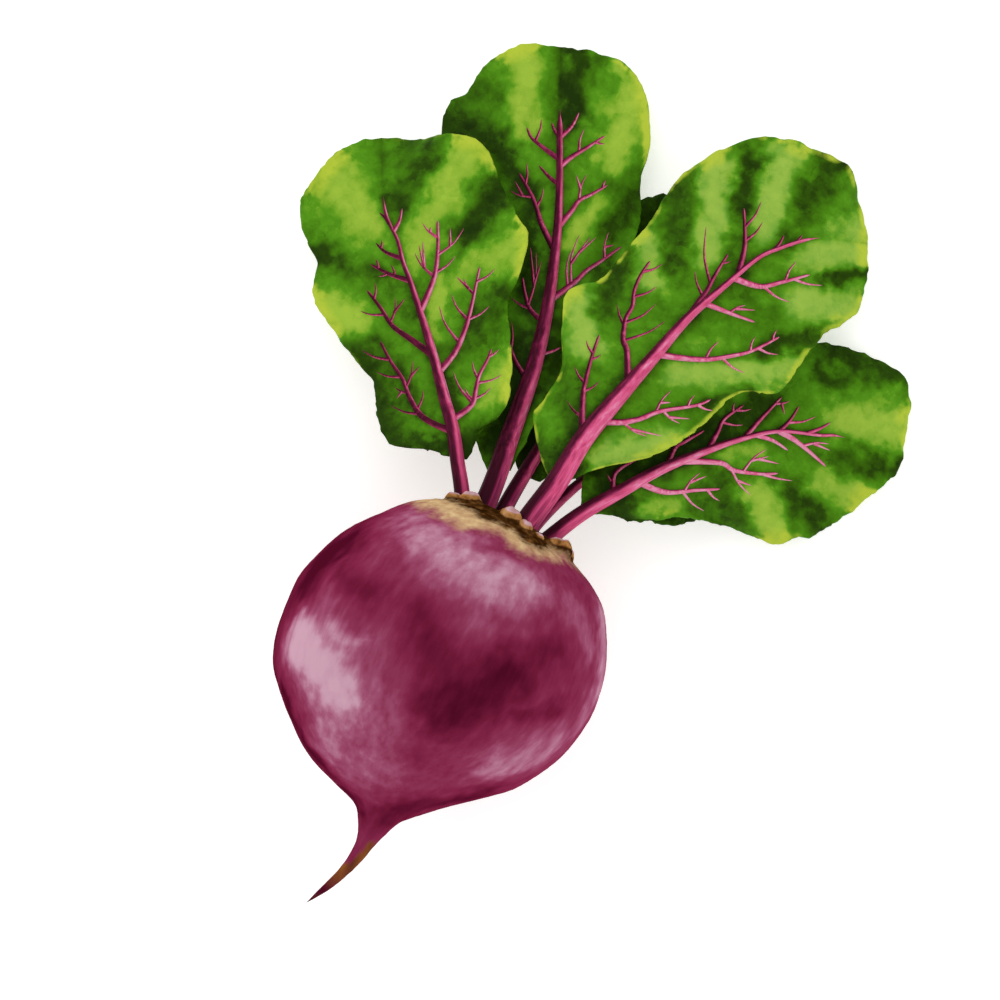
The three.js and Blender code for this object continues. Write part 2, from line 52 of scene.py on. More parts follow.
AXIS_HEIGHT = 43.8  # the middle of the bulb above the surface
CROWN_DROP = math.radians(8)  # the leaves' weight pulls the crown end down
ROOT_STEPS = 240  # round the bulb
RINGS_PER_SPAN = 8
LOBE_DEPTH = 0.011  # how far the bulb swells and sinks round its axis, as a share of its radius
BULB_SPAN = (-52, -38)  # where along the axis the tail widens into the bulb
DENT, DENT_SIZE = 0.35, 19  # slow dents in the flesh
WRINKLE, WRINKLE_SIZE = 0.07, 1.6  # fine creases that run round the bulb
WRINKLE_ROUND, WRINKLE_SPACING = 5, 0.9  # they are drawn out round the bulb and packed along it
FURROW, FURROW_WIDTH = 0.3, 0.1  # the two furrows that the side roots grew from
FURROW_TURN, FURROW_TWIST = 1.3, 0.02
FURROW_SPAN = (5, -30)

# [place along the axis, radius, sideways shift of the middle], from tail to crown
ROOT_OUTLINE = [
    (-79.5, 0, -1.2), (-73, 1.1, 1.8), (-67, 1.5, 4), (-61.5, 2, 5.3), (-56, 2.8, 5.7),
    (-50.5, 5, 5.2), (-47.5, 7.2, 4.2), (-45, 12, 1.2), (-42, 17.4, -1.5), (-39, 21.5, -2.6),
    (-33.5, 27.9, -3), (-28, 33.6, -3), (-22.5, 38.5, -2.7), (-14, 42.6, -1.7), (-5.5, 44.7, -0.8),
    (3, 45.2, -0.3), (11, 43.7, 0.4), (17, 42, 0.8), (22.5, 39.2, 1.3), (28, 35.4, 2.1),
    (31, 33.2, 2.5), (34, 30.4, 2.6), (37, 26, 2.4), (39, 21.6, 2), (40.7, 18.2, 1.7),
    (41.8, 15.2, 1.5), (41.4, 10, 1.5), (41, 0, 1.5),
]

# Painted highlights (above 0) and painted shade on the skin, lighter or darker than the rest, seen from
# above:
# (from, to, half-width, shade)
ROOT_LIGHT_AND_SHADE = [
    ((-37, -13.5), (-21.5, -21.5), 8.8, 0.88), ((-36, -11), (-18, -22), 12.5, 0.4),
    ((-18, -23), (-15, -35), 8.5, 0.44), ((-19, -4), (-12, -16), 6, 0.2),
    ((-36, 24.5), (-20, 27.5), 5.5, 0.5), ((-20, 27.5), (-8, 27), 7.5, 0.58),
    ((-8, 27), (2, 25), 9, 0.6), ((2, 25), (12.5, 29), 6.5, 0.58), ((29, -19), (40, -8), 7, 0.48),
    ((35, 31), (44, 11), 5.5, 0.56), ((42.5, 9), (43.5, -2), 3.5, 0.35), ((25, 29), (36, 22), 4.5, 0.3),
    ((-6, -20), (-2.5, -40), 7.5, 0.26), ((-42, -1), (-38, 15), 6.5, -0.8), ((-36, 8), (-25, 6), 4.5, -0.4),
    ((8, -13), (19, 4), 7.5, -0.72), ((19, 5), (28, 15), 5, -0.42), ((-8, 6), (2, -3), 5.5, -0.45),
    ((8, -45), (27, -30), 5, -0.52), ((-34, -29), (-15, -42), 3, -0.6),
    ((28, -3.5), (36, 3), 3, -0.4), ((-6.5, -45.5), (1.5, -49.5), 2.5, -0.5),
    ((-31, -7.5), (-24, -9.5), 4.5, 0.58), ((-6, 31), (9, 34.5), 2, -0.22),
    ((2.5, -11.5), (7.5, -26), 4, -0.2), ((3, 13), (17, 13.5), 5, 0.2), ((-5, -15), (3, -17), 4.5, 0.22),
]
# The same painted highlights and painted shade for the underside and flanks that face away: places on the
# bulb in all three directions
HIDDEN_LIGHT_AND_SHADE = [
    ((-30, 12, 25), (-22, -12, 14), 9, 0.6), ((20, 15, 12), (26, -8, 14), 8, 0.5),
    ((2, -18, 2), (-4, -34, 18), 7, 0.45), ((-8, 22, 3), (6, 28, 8), 6, 0.6),
    ((-12, 0, 1), (10, -6, 1), 9, -0.8), ((36, 5, 26), (34, -12, 24), 7, -0.7),
    ((-40, -8, 38), (-38, -24, 36), 6, -0.5),
]
PATCH_SPREAD = 1.2  # how far a patch reaches before it fades, in half-widths
ROOT_PATCH_SHARPNESS = 2.2
SKIN_WANDER, SKIN_WANDER_SIZE = 3.0, 9  # how far the patches' edges wander, and over what length
RIM_SHADE = 0.45  # how much darker the skin is on the shady flank, where it turns towards the ground
RIM_TURN = (-0.5, 0.05)  # how far down the skin faces where that begins and is full
SHADY_SIDE = (-0.75, -0.66, 0)
SHADY_TURN = (-0.6, 0.6)
PAINTED_HIGHLIGHT_LEVELS = (0.1, 0.7)  # painted highlights take less of the painted rim shade, from the first value on, and then none

CROWN_RIM = {"along": 41, "radius": 16.8, "shift": 1.4}
# The worn stubs of old leaves round the crown's rim:
# (degrees from the top, radius, how far out, lean outwards)
KNOBS = [
    (-66, 2.3, 3.2, 0.34), (-54, 3.1, 0.6, 0.34), (-7, 3.3, 0.3, 0.34), (9, 2.5, 2.2, 0.34),
    (22, 1.9, 4, 0.2), (47, 4.1, 3.2, -0.3), (70, 2.7, 0.5, 0.34), (103, 3, 0, 0.34),
    (138, 3.4, 0, 0.34), (168, 2.5, 0, 0.34), (-150, 3.3, 0, 0.34), (-118, 2.8, 0, 0.34),
    (-92, 2.3, 0, 0.34),
]
KNOB_FILLET = 1.3  # how softly a stub runs into the crown
KNOB_LUMPS = 0.1  # how uneven a stub is round its axis, as a share of its radius
KNOB_LENGTH, KNOB_TOP = 0.95, 0.88  # how long it is and where its worn top cuts it off, in radii
KNOB_RAISED = (0.3, 1.2)  # how far the crown has risen where a stub's colours begin and are full
KNOB_FLANK = (0, 0.35)  # how far up a stub its brown flank begins and is full, in radii
KNOB_CAP = (0.55, 0.8)  # the same for its pale top, a painted highlight
CROWN_REACH, CROWN_STEPS = 7.5, 61  # how far out the crown is searched for stubs, and in how many steps
# Where along the axis the skin turns to cork, and the cork turns old and brown, for each turn round the
# crown: (degrees from the top, place along the axis)
CORK_EDGE = [
    (-180, 31), (-130, 33), (-80, 34), (-62, 32.8), (-52, 32.0), (-42, 31.9), (-35, 31.2), (-27, 30.8),
    (-20, 30.6), (-15, 32.6), (-7, 34.6), (-1, 33.8), (3, 32.2), (10, 32), (16, 33), (27, 34.9),
    (34, 36.8), (50, 38.6), (78, 38), (120, 34), (180, 31),
]
BARK_EDGE = [
    (-180, 35.5), (-130, 36.5), (-80, 38), (-50, 38), (-43, 37.5), (-27, 36.6), (-17, 35.3), (-9, 36.4),
    (1, 36.4), (8, 35.6), (15, 35), (25, 36.8), (36, 39), (60, 39), (78, 37.5), (120, 36.5), (180, 35.5),
]
CORK_RAGGED, CORK_RAG_SIZE = 1.2, 4.5  # how far the cork's edge strays, and over what length
BARK_RAGGED, BARK_RAG_SIZE = 0.9, 3.0
CORK_BLEND = 4  # how far beyond its edge the cork is fully rough
BARK, BARK_SIZE = 0.26, 2.6  # the height of the cork's scales, and their size
TAIL_FROM, TAIL_FULL = -56, -66  # where the tail turns brown
TAIL_LEANS = 5.5  # how much nearer the bulb the brown begins on the tail's outer side than on its middle
TIP_FROM, TIP_FULL = -65, -75  # where the brown gives way to the dark tip
TIP_SHADE = 0.75  # how much darker the skin is at the tip
TIP_COVER = 0.75  # how much of the brown it takes away
EARTH_RAGGED, EARTH_SIZE = 4, 3  # how far the brown's edge strays, and over what length
STREAKED = (1.0, 0.3, 1.0)  # patterns on the skin are drawn out along the root's axis
CROWN_FROM = 30  # the stubs change nothing nearer the tail than this
CROWN_HEART = (1.5, 27, 0)  # the crown swells outwards from here

# ---- The studio, in metres ----

FLOOR_SIZE = 24
FLOOR_DROP = 0.0002
DAYLIGHT = (1.15, 0.5)  # at the horizon and overhead
SOFTBOXES = [  # (name, place, width, watts)
    ("key_softbox", (-0.6, 0.35, 1.1), 1.3, 5.0),
    ("fill_softbox", (0.8, -0.6, 0.9), 1.3, 3.0),
]
SOFTBOX_AIM = (0, 0, 0.03)
# The camera looks straight down, its frame turned so that the tail points to the lower left.
CAMERA_LENS = 800
CAMERA_SENSOR = 36
CAMERA_REACH = 100  # it shows nothing further off
VIEW_WIDTH = 280  # millimetres across the frame
VIEW_MIDDLE = (-5.2, 46.2)
VIEW_HEIGHT = 30  # the height at which the frame is that wide
VIEW_TURN = math.radians(27.6)

# ---- The leaves ----

BLADE_THICKNESS = 0.6
FLOOR_GAP = 1.3  # the least height of a blade's top
RUFFLE = 2.1  # how far a blade's edge rises and dips along the folds
RUFFLED_WIDTH = 12  # a half-blade narrower than this is ruffled less
ARCH = 1.6  # how far the blade swells between its rib and its edge
ARCHED_WIDTH = 25  # a half-blade narrower than this swells less
FOLD_LAG = 0.18  # how far the folds lean towards the leaf's tip
RIB_STANDS_OUT = 0.3  # how far a rib's middle lies above the blade beside it, in rib radii
QUILT = 0.5  # how far the blade swells between its veins
QUILT_REACH = 3.5
FRILL, FRILL_SIZE = 0.7, 4.5  # the small waves of the very edge
CRINKLE, CRINKLE_SIZE = 0.16, 3.0  # the unevenness of the whole blade, which ends at the veins
CRINKLE_REACH = 3
EDGE_LENGTH = 60  # the waves of an edge are measured as if each side were this long
CALM_ROUNDS = 4  # how often the blade's heights are evened out
HEIGHT_OF_RAYS = 300  # above everything
LINE_SAMPLES = 400
ROUTE_SAMPLES = 24  # along a vein, in finding how far the blade is from it
TWIG_SAMPLES = 60
STALK_SIDES = 30
VEIN_SIDES = 10
STALK_STEP = 1.0
VEIN_STEP = 0.8
FLARE = 0.3  # how much wider a stalk is where it leaves the crown
FLARE_REACH = 5
RIB_EASE = 0.05  # the share of its length at which a rib starts to thin
BELOW = 0.45  # how much further a rib stands out under the blade than its radius
BELOW_EASE = 0.08  # the share of its length over which it comes to that
RIB_RUNOUT = 0.015  # the share of its length in which a rib runs out to a point
RIB_LIMIT = 0.97  # the share of its length at which a rib ends at the latest
RIB_POINT, RIB_POINT_FROM = 0.9, 0.02  # how much it thins there, and how far before its end that begins
GROOVE_RUNOUT = 0.08  # the share in which the blade closes over its end
EDGE_UNEVEN, EDGE_UNEVEN_SIZE = 0.9, 3.2  # the small notches of the edge
NARROW_BLADE = 5  # a half-blade narrower than this has smaller ones
STALK_RIDGES, RIDGE_COUNT = 0.035, 5  # the ridges along a stalk, as a share of its radius
GRAIN_STRETCH = 0.25  # the mottling of a stalk's skin is drawn out along it
STALK_STRINGS, VEIN_STRINGS = 9, 3  # the strings under the skin, counted round it
TWIG_LEAN = 1.0  # how far back along its vein a twig leaves it, beside its reach sideways
TWIG_BEND, TWIG_BOW = 0.45, 0.16  # where along a twig it bends, and how far it bows out
FORK_FROM = 0.4  # the share of an older twig at which a younger one forks from it
SIDE_CONTRAST = 0.67  # between a stalk's painted lit side and its painted shaded side
SIDE_BLEND = 0.3  # how softly one turns into the other
FOOT_SHADE = 0.7  # how much darker a stalk is at its foot
FOOT_REACH = 22
VEIN_TONES = (-0.14, 0.2)  # of the veins left and right of the rib: the left ones darker with painted shade, the right ones lighter with painted light
VEIN_TURNING = -0.15  # how far round from its painted shaded side a vein's painted lit pink begins, as in STALK_TONES
TWIG_TONE = 0.1  # how much pinker a twig is than its vein
PATCH_WANDER, PATCH_WANDER_SIZE = 2.2, 5  # how far a blade's patches wander, and over what length
LEAF_PATCH_SHARPNESS = 2.4
DEEP_SHADE = -0.7  # the leaves at the back
SUNNY_RIM = 0.9  # how yellow the very edge is where a painted highlight reaches it
SUNNY_SHADES = (-0.05, 0.3)  # the shade of blade at which that begins and is full
RIM_WIDTH = (-2.6, -0.3)  # how far in from the edge this thin rim begins and is full
RIM_GAP_SIZE, RIM_GAPS = 9, (-0.3, 0.3)  # it comes and goes along the edge
YELLOW_REACH = 7.5  # how far in from the edge a painted highlight is yellow
YELLOW_SHADES = (0.05, 0.5)
# the shade of blade at which the painted highlights' milkier green begins and is full
MILKY_HIGHLIGHT_SHADES = (0, 0.7)
FOLD_SHADE = 0.1  # how much lighter a lifted fold is, and how much darker a dipped one
RIB_SHADE = 0.4  # how much darker the blade is along its rib
VEIN_SHADE = 0.24  # and along its side veins
SHADE_REACH = 1.6  # how far from both
BLUSH_REACH = 0.9  # how far from both the underside is pink
VEIN_RADIUS = (1.02, 0.34)
TWIG_RADIUS = (0.48, 0.1)
# A short vein is thinner: the share of its full radius at no length, and what each millimetre adds
VEIN_GROWTH = (0.55, 0.02)
# How far a vein stands above its line and below the blade, and how far its line is lifted, in radii
VEIN_RISE, VEIN_SINK, VEIN_LIFT = 0.85, 0.6, 0.1
VEIN_POINT = 0.3  # the radius at its very tip, as a share of its end's
FORK_REACH = 4.5  # twigs whose tips are nearer than this share a foot

# The sizes of the finishes' patterns. The leaf's net of fine veins and the paper's tooth are drawn
# coarser than real ones, which are too fine to show.
STREAK_SIZE = 3.0
CRUMB_SIZE = 2.8
BLOT_SIZE = 3.2
PORE_SIZE = 0.7
MOTTLE_SIZE = 1.1
DAB_SIZE = 4.2
BLISTER_SIZE = 2.4
BLISTER_WARP, WARP_SIZE = 4, 2.5  # how far the blisters are bent out of shape, and over what length
NET_SIZE = 2.0
LEAF_GRAIN_SIZE = 0.6
TOOTH_SIZE = 1.5

# Each leaf's rib runs from inside the crown to the tip of the blade; left and right are the blade's
# edges from their base, and end at that tip. folds says where round the edge it dips and lifts in turn:
# 0 is the left base, 1 the tip, 2 the right base. veins are the side veins seen from above: a route and
# the ends of its twigs. patches are painted light and shade on the blade, among them painted shadows
# that leaves cast on those below: where it is lighter (above 0) or darker, as (from, to, half-width,
# shade). rimmed is how yellow the very edge is away from the painted highlights, and bloom
# how milky the painted highlights are, from 0 to 1, and 0 where they aren't given.
LEAVES = [
    {
        "name": "1", "rimmed": 0.25, "rib_radius": (2.1, 0.45), "rib_end": 0.83,
        "rib": [(-12.5, 35, 43.5), (-15, 42, 43), (-21, 50.5, 40.5), (-26, 57.5, 37.5), (-32, 64, 34),
            (-42.5, 75.5, 28), (-54.5, 87.5, 21.5), (-60, 92.5, 18.5), (-64.5, 97.5, 15.5), (-72, 104, 12),
            (-82, 121, 3)],
        "left": [(-22.5, 50.5, 40), (-29, 49.5, 37.5), (-39.5, 46, 33.5), (-47, 51.5, 29.5),
            (-52.5, 59, 25.5), (-65.5, 65, 19), (-78, 72.5, 13), (-82, 81.5, 10), (-92, 90.5, 5.5),
            (-93.5, 103, 3.5), (-89, 115.5, 3)],
        "right": [(-18.5, 52, 40), (-18.5, 61.5, 38), (-16, 68.5, 36.5), (-19, 80, 33.5),
            (-28.5, 95.5, 28.5), (-29.5, 104.5, 25.5), (-33.5, 116, 21.5), (-45, 124, 17),
            (-54.5, 132, 13), (-64, 131.5, 9.5), (-74, 124.5, 5.5)],
        "folds": [0.24, 0.5, 0.67, 0.86, 1.04, 1.2, 1.36, 1.5, 1.67, 1.82, 1.93],
        "veins": [
            ([(-27, 56), (-31, 56.5), (-36, 57), (-41, 60), (-45, 63.5), (-50.5, 66.5), (-55.5, 70)],
             [(-38.5, 63.5), (-45, 69.5), (-42.5, 69), (-46, 60.5), (-52.5, 62), (-59, 65.5),
              (-44.5, 55.5), (-44, 58)]),
            ([(-41.5, 72.5), (-48, 74.5), (-54.5, 75.5), (-60, 78.5), (-65.5, 81)],
             [(-64.5, 75), (-64.5, 84), (-57.5, 83), (-55, 84)]),
            ([(-56.5, 88.5), (-62, 88), (-68, 88)], [(-64.5, 86), (-67.5, 90), (-63, 90.5)]),
            ([(-62, 92.5), (-66, 93), (-69.5, 94)], [(-68.5, 95.5)]),
            ([(-68.5, 101), (-70.5, 101.5), (-72.5, 102)], []),
            ([(-26.5, 60.5), (-24.5, 66), (-25.5, 70.5), (-26.5, 74.5), (-26.5, 79.5), (-27, 82.5)],
             [(-25, 83.5), (-22, 73), (-21, 77.5), (-28.5, 69.5), (-33.5, 72), (-30, 77)]),
            ([(-36, 70.5), (-35.5, 77), (-36, 84), (-37, 89), (-38.5, 94.5), (-40.5, 101.5)],
             [(-36.5, 103), (-43, 96.5), (-45, 96), (-33, 93), (-44, 91), (-45.5, 86.5)]),
            ([(-49, 83), (-50, 90), (-51, 95), (-53.5, 101), (-57, 107.5)],
             [(-49.5, 109), (-53, 107.5), (-60.5, 105), (-58, 105), (-58.5, 96.5), (-58.5, 99),
              (-58, 100.5), (-48, 101)]),
            ([(-66, 100), (-66.5, 102.5), (-67.5, 106)], []),
        ],
        "patches": [((-36.5, 119), (-30.5, 104.5), 1.8, 0.6), ((-22, 84), (-16.5, 72), 1.8, 0.45),
            ((-62, 131), (-50, 128), 1.6, 0.5), ((-87, 104.5), (-72.5, 98), 5.5, 0.75),
            ((-90.5, 94.5), (-80.5, 95.5), 3.5, 0.25), ((-83, 83), (-76, 85), 3, -0.72),
            ((-75.5, 84), (-63, 86.5), 2.5, -0.4), ((-75, 71.5), (-65, 72), 4, 0.9),
            ((-58.5, 64.5), (-43, 49.5), 5.5, -0.72), ((-40, 54.5), (-30.5, 56), 2.5, 0.1),
            ((-41, 46.5), (-27, 51.5), 2.5, -0.72), ((-67.5, 125.5), (-69, 107.5), 3.5, -0.63),
            ((-74, 124), (-71, 117), 3, -0.45), ((-59, 130), (-59, 100), 4.5, 0.8),
            ((-59, 98), (-58.5, 92), 2.5, 0.7), ((-45.5, 125.5), (-48.5, 108), 4, -0.77),
            ((-33, 113.5), (-43, 101), 4.5, 0.65), ((-43, 101), (-46, 90), 2.5, 0.4),
            ((-31, 100), (-33.5, 86), 3, -0.63), ((-48, 91.5), (-43.5, 79), 2.5, 0.85),
            ((-30, 86), (-35, 77), 3, -0.4), ((-21.5, 82), (-22.5, 67.5), 3.5, 0.55),
            ((-14, 65), (-21.5, 51.5), 3.5, -0.72), ((-28, 64), (-35, 71), 2, -0.5),
            ((-46, 77.5), (-60, 85), 2.5, -0.25), ((-48, 66), (-38, 58), 3, -0.45)],
    },
    {
        "name": "2", "rimmed": 0.15, "rib_radius": (3, 0.85), "rib_end": 0.86,
        "rib": [(-8, 35, 39.5), (-8.5, 44.5, 38), (-9.5, 53.5, 35), (-11, 62.5, 31), (-13.5, 80, 25.5),
            (-16, 91.5, 22), (-19, 102, 19.5), (-23, 113, 16.5), (-27, 123, 14), (-32, 133.5, 11.5),
            (-40, 149, 7), (-49, 167, 3.5)],
        "left": [(-11, 51, 34.5), (-16.5, 55.5, 31.5), (-23, 62, 27.5), (-30, 74.5, 22), (-38, 89, 16.5),
            (-47.5, 103, 11.5), (-59, 116, 6.5), (-66, 126.5, 4.5), (-69.5, 137.5, 3.5), (-66.5, 145, 3.5),
            (-65, 154, 3.5), (-60.5, 161, 3.5), (-53.5, 165.5, 3.5)],
        "right": [(-6.5, 55, 34.5), (-6.5, 67.5, 29), (-6.5, 75.5, 26), (-5.5, 84, 23), (-7.5, 95.5, 19.5),
            (-6.5, 109, 16), (-5.5, 122.5, 13.5), (-6.5, 133.5, 12), (-11, 142.5, 10.5), (-14.5, 155, 8),
            (-20.5, 164.5, 6), (-29, 171, 4.5), (-38.5, 170.5, 3.5)],
        "folds": [0.2, 0.45, 0.72, 0.96, 1.12, 1.26, 1.4, 1.55, 1.7, 1.85],
        "veins": [
            ([(-12.5, 87.5), (-11.5, 90), (-10, 92)], []),
            ([(-17, 102.5), (-15, 110), (-13.5, 114.5), (-11, 119), (-8, 125)],
             [(-20, 122.5), (-17, 123.5), (-20, 117.5), (-13, 127), (-15.5, 124), (-10, 124.5)]),
            ([(-25, 122), (-25, 127.5), (-24.5, 131), (-22, 134.5), (-19.5, 138.5)],
             [(-26, 138.5), (-28.5, 137), (-20.5, 139.5)]),
            ([(-32.5, 137.5), (-32, 141), (-29, 146), (-26.5, 150.5)], [(-32.5, 149.5), (-25.5, 148.5)]),
            ([(-37, 144.5), (-36, 148.5), (-36, 153)], []),
            ([(-15, 79), (-18.5, 82), (-22, 85), (-25, 88)], [(-25.5, 92)]),
            ([(-18.5, 95.5), (-22.5, 97.5), (-26, 101), (-28.5, 104.5)],
             [(-28.5, 112.5), (-30.5, 113), (-26, 111), (-29, 98)]),
            ([(-24.5, 115), (-30.5, 120), (-34.5, 124), (-37.5, 126.5), (-43, 130)],
             [(-42.5, 133.5), (-43, 124.5), (-35, 129.5), (-43, 127.5)]),
            ([(-32, 132), (-35, 133), (-39, 134.5)], []),
            ([(-35, 138.5), (-40, 139.5), (-44.5, 140.5), (-47, 142.5)], [(-44.5, 146.5)]),
            ([(-38, 144), (-40, 145.5), (-41.5, 147)], []),
        ],
        "patches": [((-67.5, 133.5), (-54, 135), 4.5, -0.73), ((-52, 134), (-37.5, 125), 3.5, -0.82),
            ((-66, 143), (-60, 147), 3, -0.4), ((-57, 160), (-47.5, 143), 4, 0.9),
            ((-51.5, 164), (-43, 149), 2.5, -0.15), ((-44, 167), (-38, 152.5), 3.5, -0.82),
            ((-37.5, 170.5), (-36.5, 160.5), 2, -0.35), ((-33.5, 164.5), (-30, 151), 3, 0.2),
            ((-25, 167.5), (-22, 146), 4, 0.8), ((-33, 170), (-17.5, 160), 2, 0.55),
            ((-17.5, 160), (-13.5, 151), 1.8, 0.5), ((-14.5, 146), (-17, 136.5), 3.5, -0.4),
            ((-10, 140), (-13, 128), 3.5, -0.6), ((-19, 134.5), (-21, 119.5), 2.5, 0.8),
            ((-43, 135), (-36.5, 134.5), 3.5, 0.25), ((-33, 126.5), (-29, 118.5), 2, 0.15),
            ((-30.5, 111), (-23.5, 98), 3.5, -0.73), ((-37.5, 125.5), (-29, 111), 2.6, -0.8),
            ((-7, 117.5), (-11, 100.5), 3, -0.6), ((-21.5, 88.5), (-14.5, 73.5), 4, -0.77),
            ((-12, 98.5), (-6.5, 78), 3, -0.6), ((-15.5, 68.5), (-15, 58), 4, -0.77)],
    },
    {
        "name": "3", "rib_radius": (2.3, 0.5), "rib_end": 0.85,
        "rib": [(-1.5, 35, 34.5), (-3, 44, 34.5), (-2.5, 57.5, 26.5), (-2, 65, 22), (-1, 83.5, 14.5),
            (-1.5, 108.5, 9), (-3, 132.5, 4.5), (-4.5, 144, 3)],
        "left": [(-3.5, 55, 27.5), (-9, 61.5, 22.5), (-12.5, 72.5, 17), (-16, 88, 11.5), (-17.5, 103, 8),
            (-17, 120.5, 5), (-14.5, 133, 3.5), (-9, 139.5, 3)],
        "right": [(2.5, 56, 27.5), (7.5, 67, 21.5), (10.5, 80, 15.5), (13, 95, 10.5), (13.5, 110, 7.5),
            (12.5, 123.5, 5), (8.5, 135.5, 3.5), (2, 143.5, 3)],
        "folds": [0.25, 0.5, 0.75, 1, 1.25, 1.5, 1.75],
        "veins": [
            ([(-1.5, 76), (-6, 84), (-11, 92)], []),
            ([(-1, 93), (-6.5, 101), (-12, 110)], []),
            ([(-1.5, 108), (-6.5, 117), (-11, 126)], []),
            ([(-1.5, 84), (4, 91), (9, 100)], []),
            ([(-1, 100), (4, 108), (8, 117)], []),
            ([(-2, 117), (1.5, 125), (4, 132)], []),
        ],
        "patches": [],
    },
    {
        "name": "4", "rimmed": 0.85, "bloom": 0.16, "rib_radius": (3.3, 0.5), "rib_end": 0.88,
        "rib": [(4, 35, 49), (4.5, 45, 50), (6.5, 58.5, 47.5), (7.5, 72, 43.5), (10.5, 86, 39),
            (14, 100.5, 34), (17.5, 115, 29), (20.5, 123, 25.5), (23.5, 130.5, 22), (27, 139, 18.5),
            (30.5, 144, 16.5), (39.5, 152.5, 12.5), (53, 158, 5)],
        "left": [(4, 58, 47), (-1, 62.5, 43.5), (-8, 71.5, 38), (-7.5, 77.5, 36), (-7, 86.5, 33.5),
            (-12, 96.5, 29.5), (-15.5, 106.5, 26.5), (-9, 114, 24.5), (-6, 126.5, 21.5), (-3.5, 137, 18.5),
            (-3.5, 145, 16), (-1, 153.5, 13), (7, 165.5, 9), (18, 173.5, 6.5), (27.5, 174.5, 5),
            (38.5, 174.5, 4), (47, 166, 4)],
        "right": [(9, 59, 47), (15.5, 67, 43.5), (27.5, 77.5, 38), (35, 90.5, 33), (40.5, 104, 28),
            (50, 109.5, 23.5), (52, 121, 19.5), (54.5, 130.5, 15.5), (59, 138.5, 11), (57.5, 148.5, 7.5)],
        "folds": [0.17, 0.29, 0.41, 0.48, 0.56, 0.65, 0.73, 0.81, 0.9, 1.04, 1.14, 1.24, 1.35, 1.46, 1.6,
            1.74, 1.88],
        "veins": [
            ([(5, 71.5), (2, 82.5), (0.5, 87), (-1, 93.5), (-2, 100)],
             [(-4.5, 97), (1, 95.5), (4, 88.5), (-4, 89), (-1.5, 79.5)]),
            ([(10, 91.5), (7, 99.5), (4.5, 102), (2.5, 107.5), (2.5, 111.5), (1, 115.5), (0.5, 120),
              (1, 125)],
             [(4.5, 126), (6, 119.5), (12.5, 112), (8, 115), (-1.5, 110)]),
            ([(19, 116), (18.5, 122), (19, 125), (19, 130), (19.5, 137)],
             [(13.5, 128.5), (10.5, 141), (21, 135.5)]),
            ([(27, 132.5), (23, 140), (21.5, 143.5), (17.5, 150.5)], [(21, 154.5), (24, 149.5)]),
            ([(30.5, 144), (31, 146.5), (31, 149)], []),
            ([(34, 147), (35, 149), (35.5, 151.5)], []),
            ([(10.5, 78), (14.5, 81), (19, 84.5), (23, 89), (31, 95), (34, 98.5)],
             [(23, 95.5), (24.5, 92.5), (29.5, 88.5), (23, 81), (26.5, 83), (31.5, 91), (29.5, 97.5),
              (36, 96)]),
            ([(17, 102), (21.5, 105), (28, 108), (33.5, 112), (38, 116), (43, 123)],
             [(28.5, 114), (37, 120), (41.5, 124.5), (45, 118.5), (39, 109.5)]),
            ([(22.5, 120.5), (28, 122.5), (35, 123.5)], [(30.5, 126.5), (33.5, 126.5)]),
            ([(27, 130.5), (31.5, 133), (36.5, 137), (42.5, 142.5)], [(41, 133), (37.5, 144), (47, 141.5)]),
        ],
        "patches": [((-4, 90), (3, 74), 3, -0.42), ((-6, 74.5), (-2.5, 71), 2.5, 0.15),
            ((-12.5, 106.5), (-3, 94.5), 4, 0.75), ((-7, 91.5), (6.5, 88), 3, -0.15),
            ((-5, 124.5), (-5, 108.5), 3.5, -0.63), ((-4, 129), (3.5, 121), 3.5, 0.75),
            ((-1, 148.5), (8, 127), 3.5, -0.59), ((5.5, 157), (15.5, 135), 4, 0.75),
            ((12, 164.5), (16.5, 151.5), 3, -0.71), ((21.5, 168), (26, 149), 4.5, 0.7),
            ((33, 174.5), (32.5, 159.5), 4.5, -0.67), ((32, 158.5), (31.5, 149.5), 2.5, -0.5),
            ((42.5, 168), (40.5, 158.5), 3, 0.1), ((50, 157.5), (41, 148.5), 5.5, 0.7),
            ((57, 150), (47, 144), 1.6, -0.8), ((57.5, 140), (44, 135.5), 4, 0.65),
            ((53, 128.5), (40.5, 117.5), 2.5, -0.71), ((51.5, 117.5), (22, 100.5), 3.5, 0.6),
            ((43.5, 104.5), (34, 96), 2, -0.59), ((28.5, 83), (13.5, 69), 3.5, 0.6),
            ((-2, 64), (8.5, 63), 3.5, -0.59), ((3.5, 112), (20.5, 114.5), 3.5, -0.1),
            ((26, 128), (39.5, 126.5), 3, -0.3), ((3.5, 65.5), (10.5, 90), 2.2, -0.45),
            ((18, 141), (23, 135), 3.5, -0.4), ((13, 108.5), (33, 110.5), 2, 0.2)],
    },
    {
        "name": "5", "rib_radius": (1.75, 0.5), "rib_end": 0.84,
        "rib": [(6.5, 35, 33), (7, 45, 30), (12.5, 61, 21.5), (20, 73, 14.5), (33.5, 81, 9.5),
            (51, 88.5, 5), (63.5, 89, 3)],
        "left": [(11, 61.5, 22), (11.5, 70, 18), (19, 81, 12.5), (31.5, 90.5, 8), (46, 96.5, 4.5),
            (58.5, 97, 3)],
        "right": [(15.5, 59.5, 22), (22, 58, 18), (29.5, 57.5, 13.5), (34.5, 60.5, 11), (40.5, 62, 8.5),
            (48, 68, 5.5), (58, 77.5, 3.5)],
        "folds": [0.3, 0.6, 0.9, 1.15, 1.4, 1.65, 1.85],
        "veins": [
            ([(17, 69.5), (20.5, 76), (25, 82.5)], []),
            ([(27, 78), (32, 84), (38, 89.5)], []),
            ([(38, 83), (44, 89), (50, 93)], []),
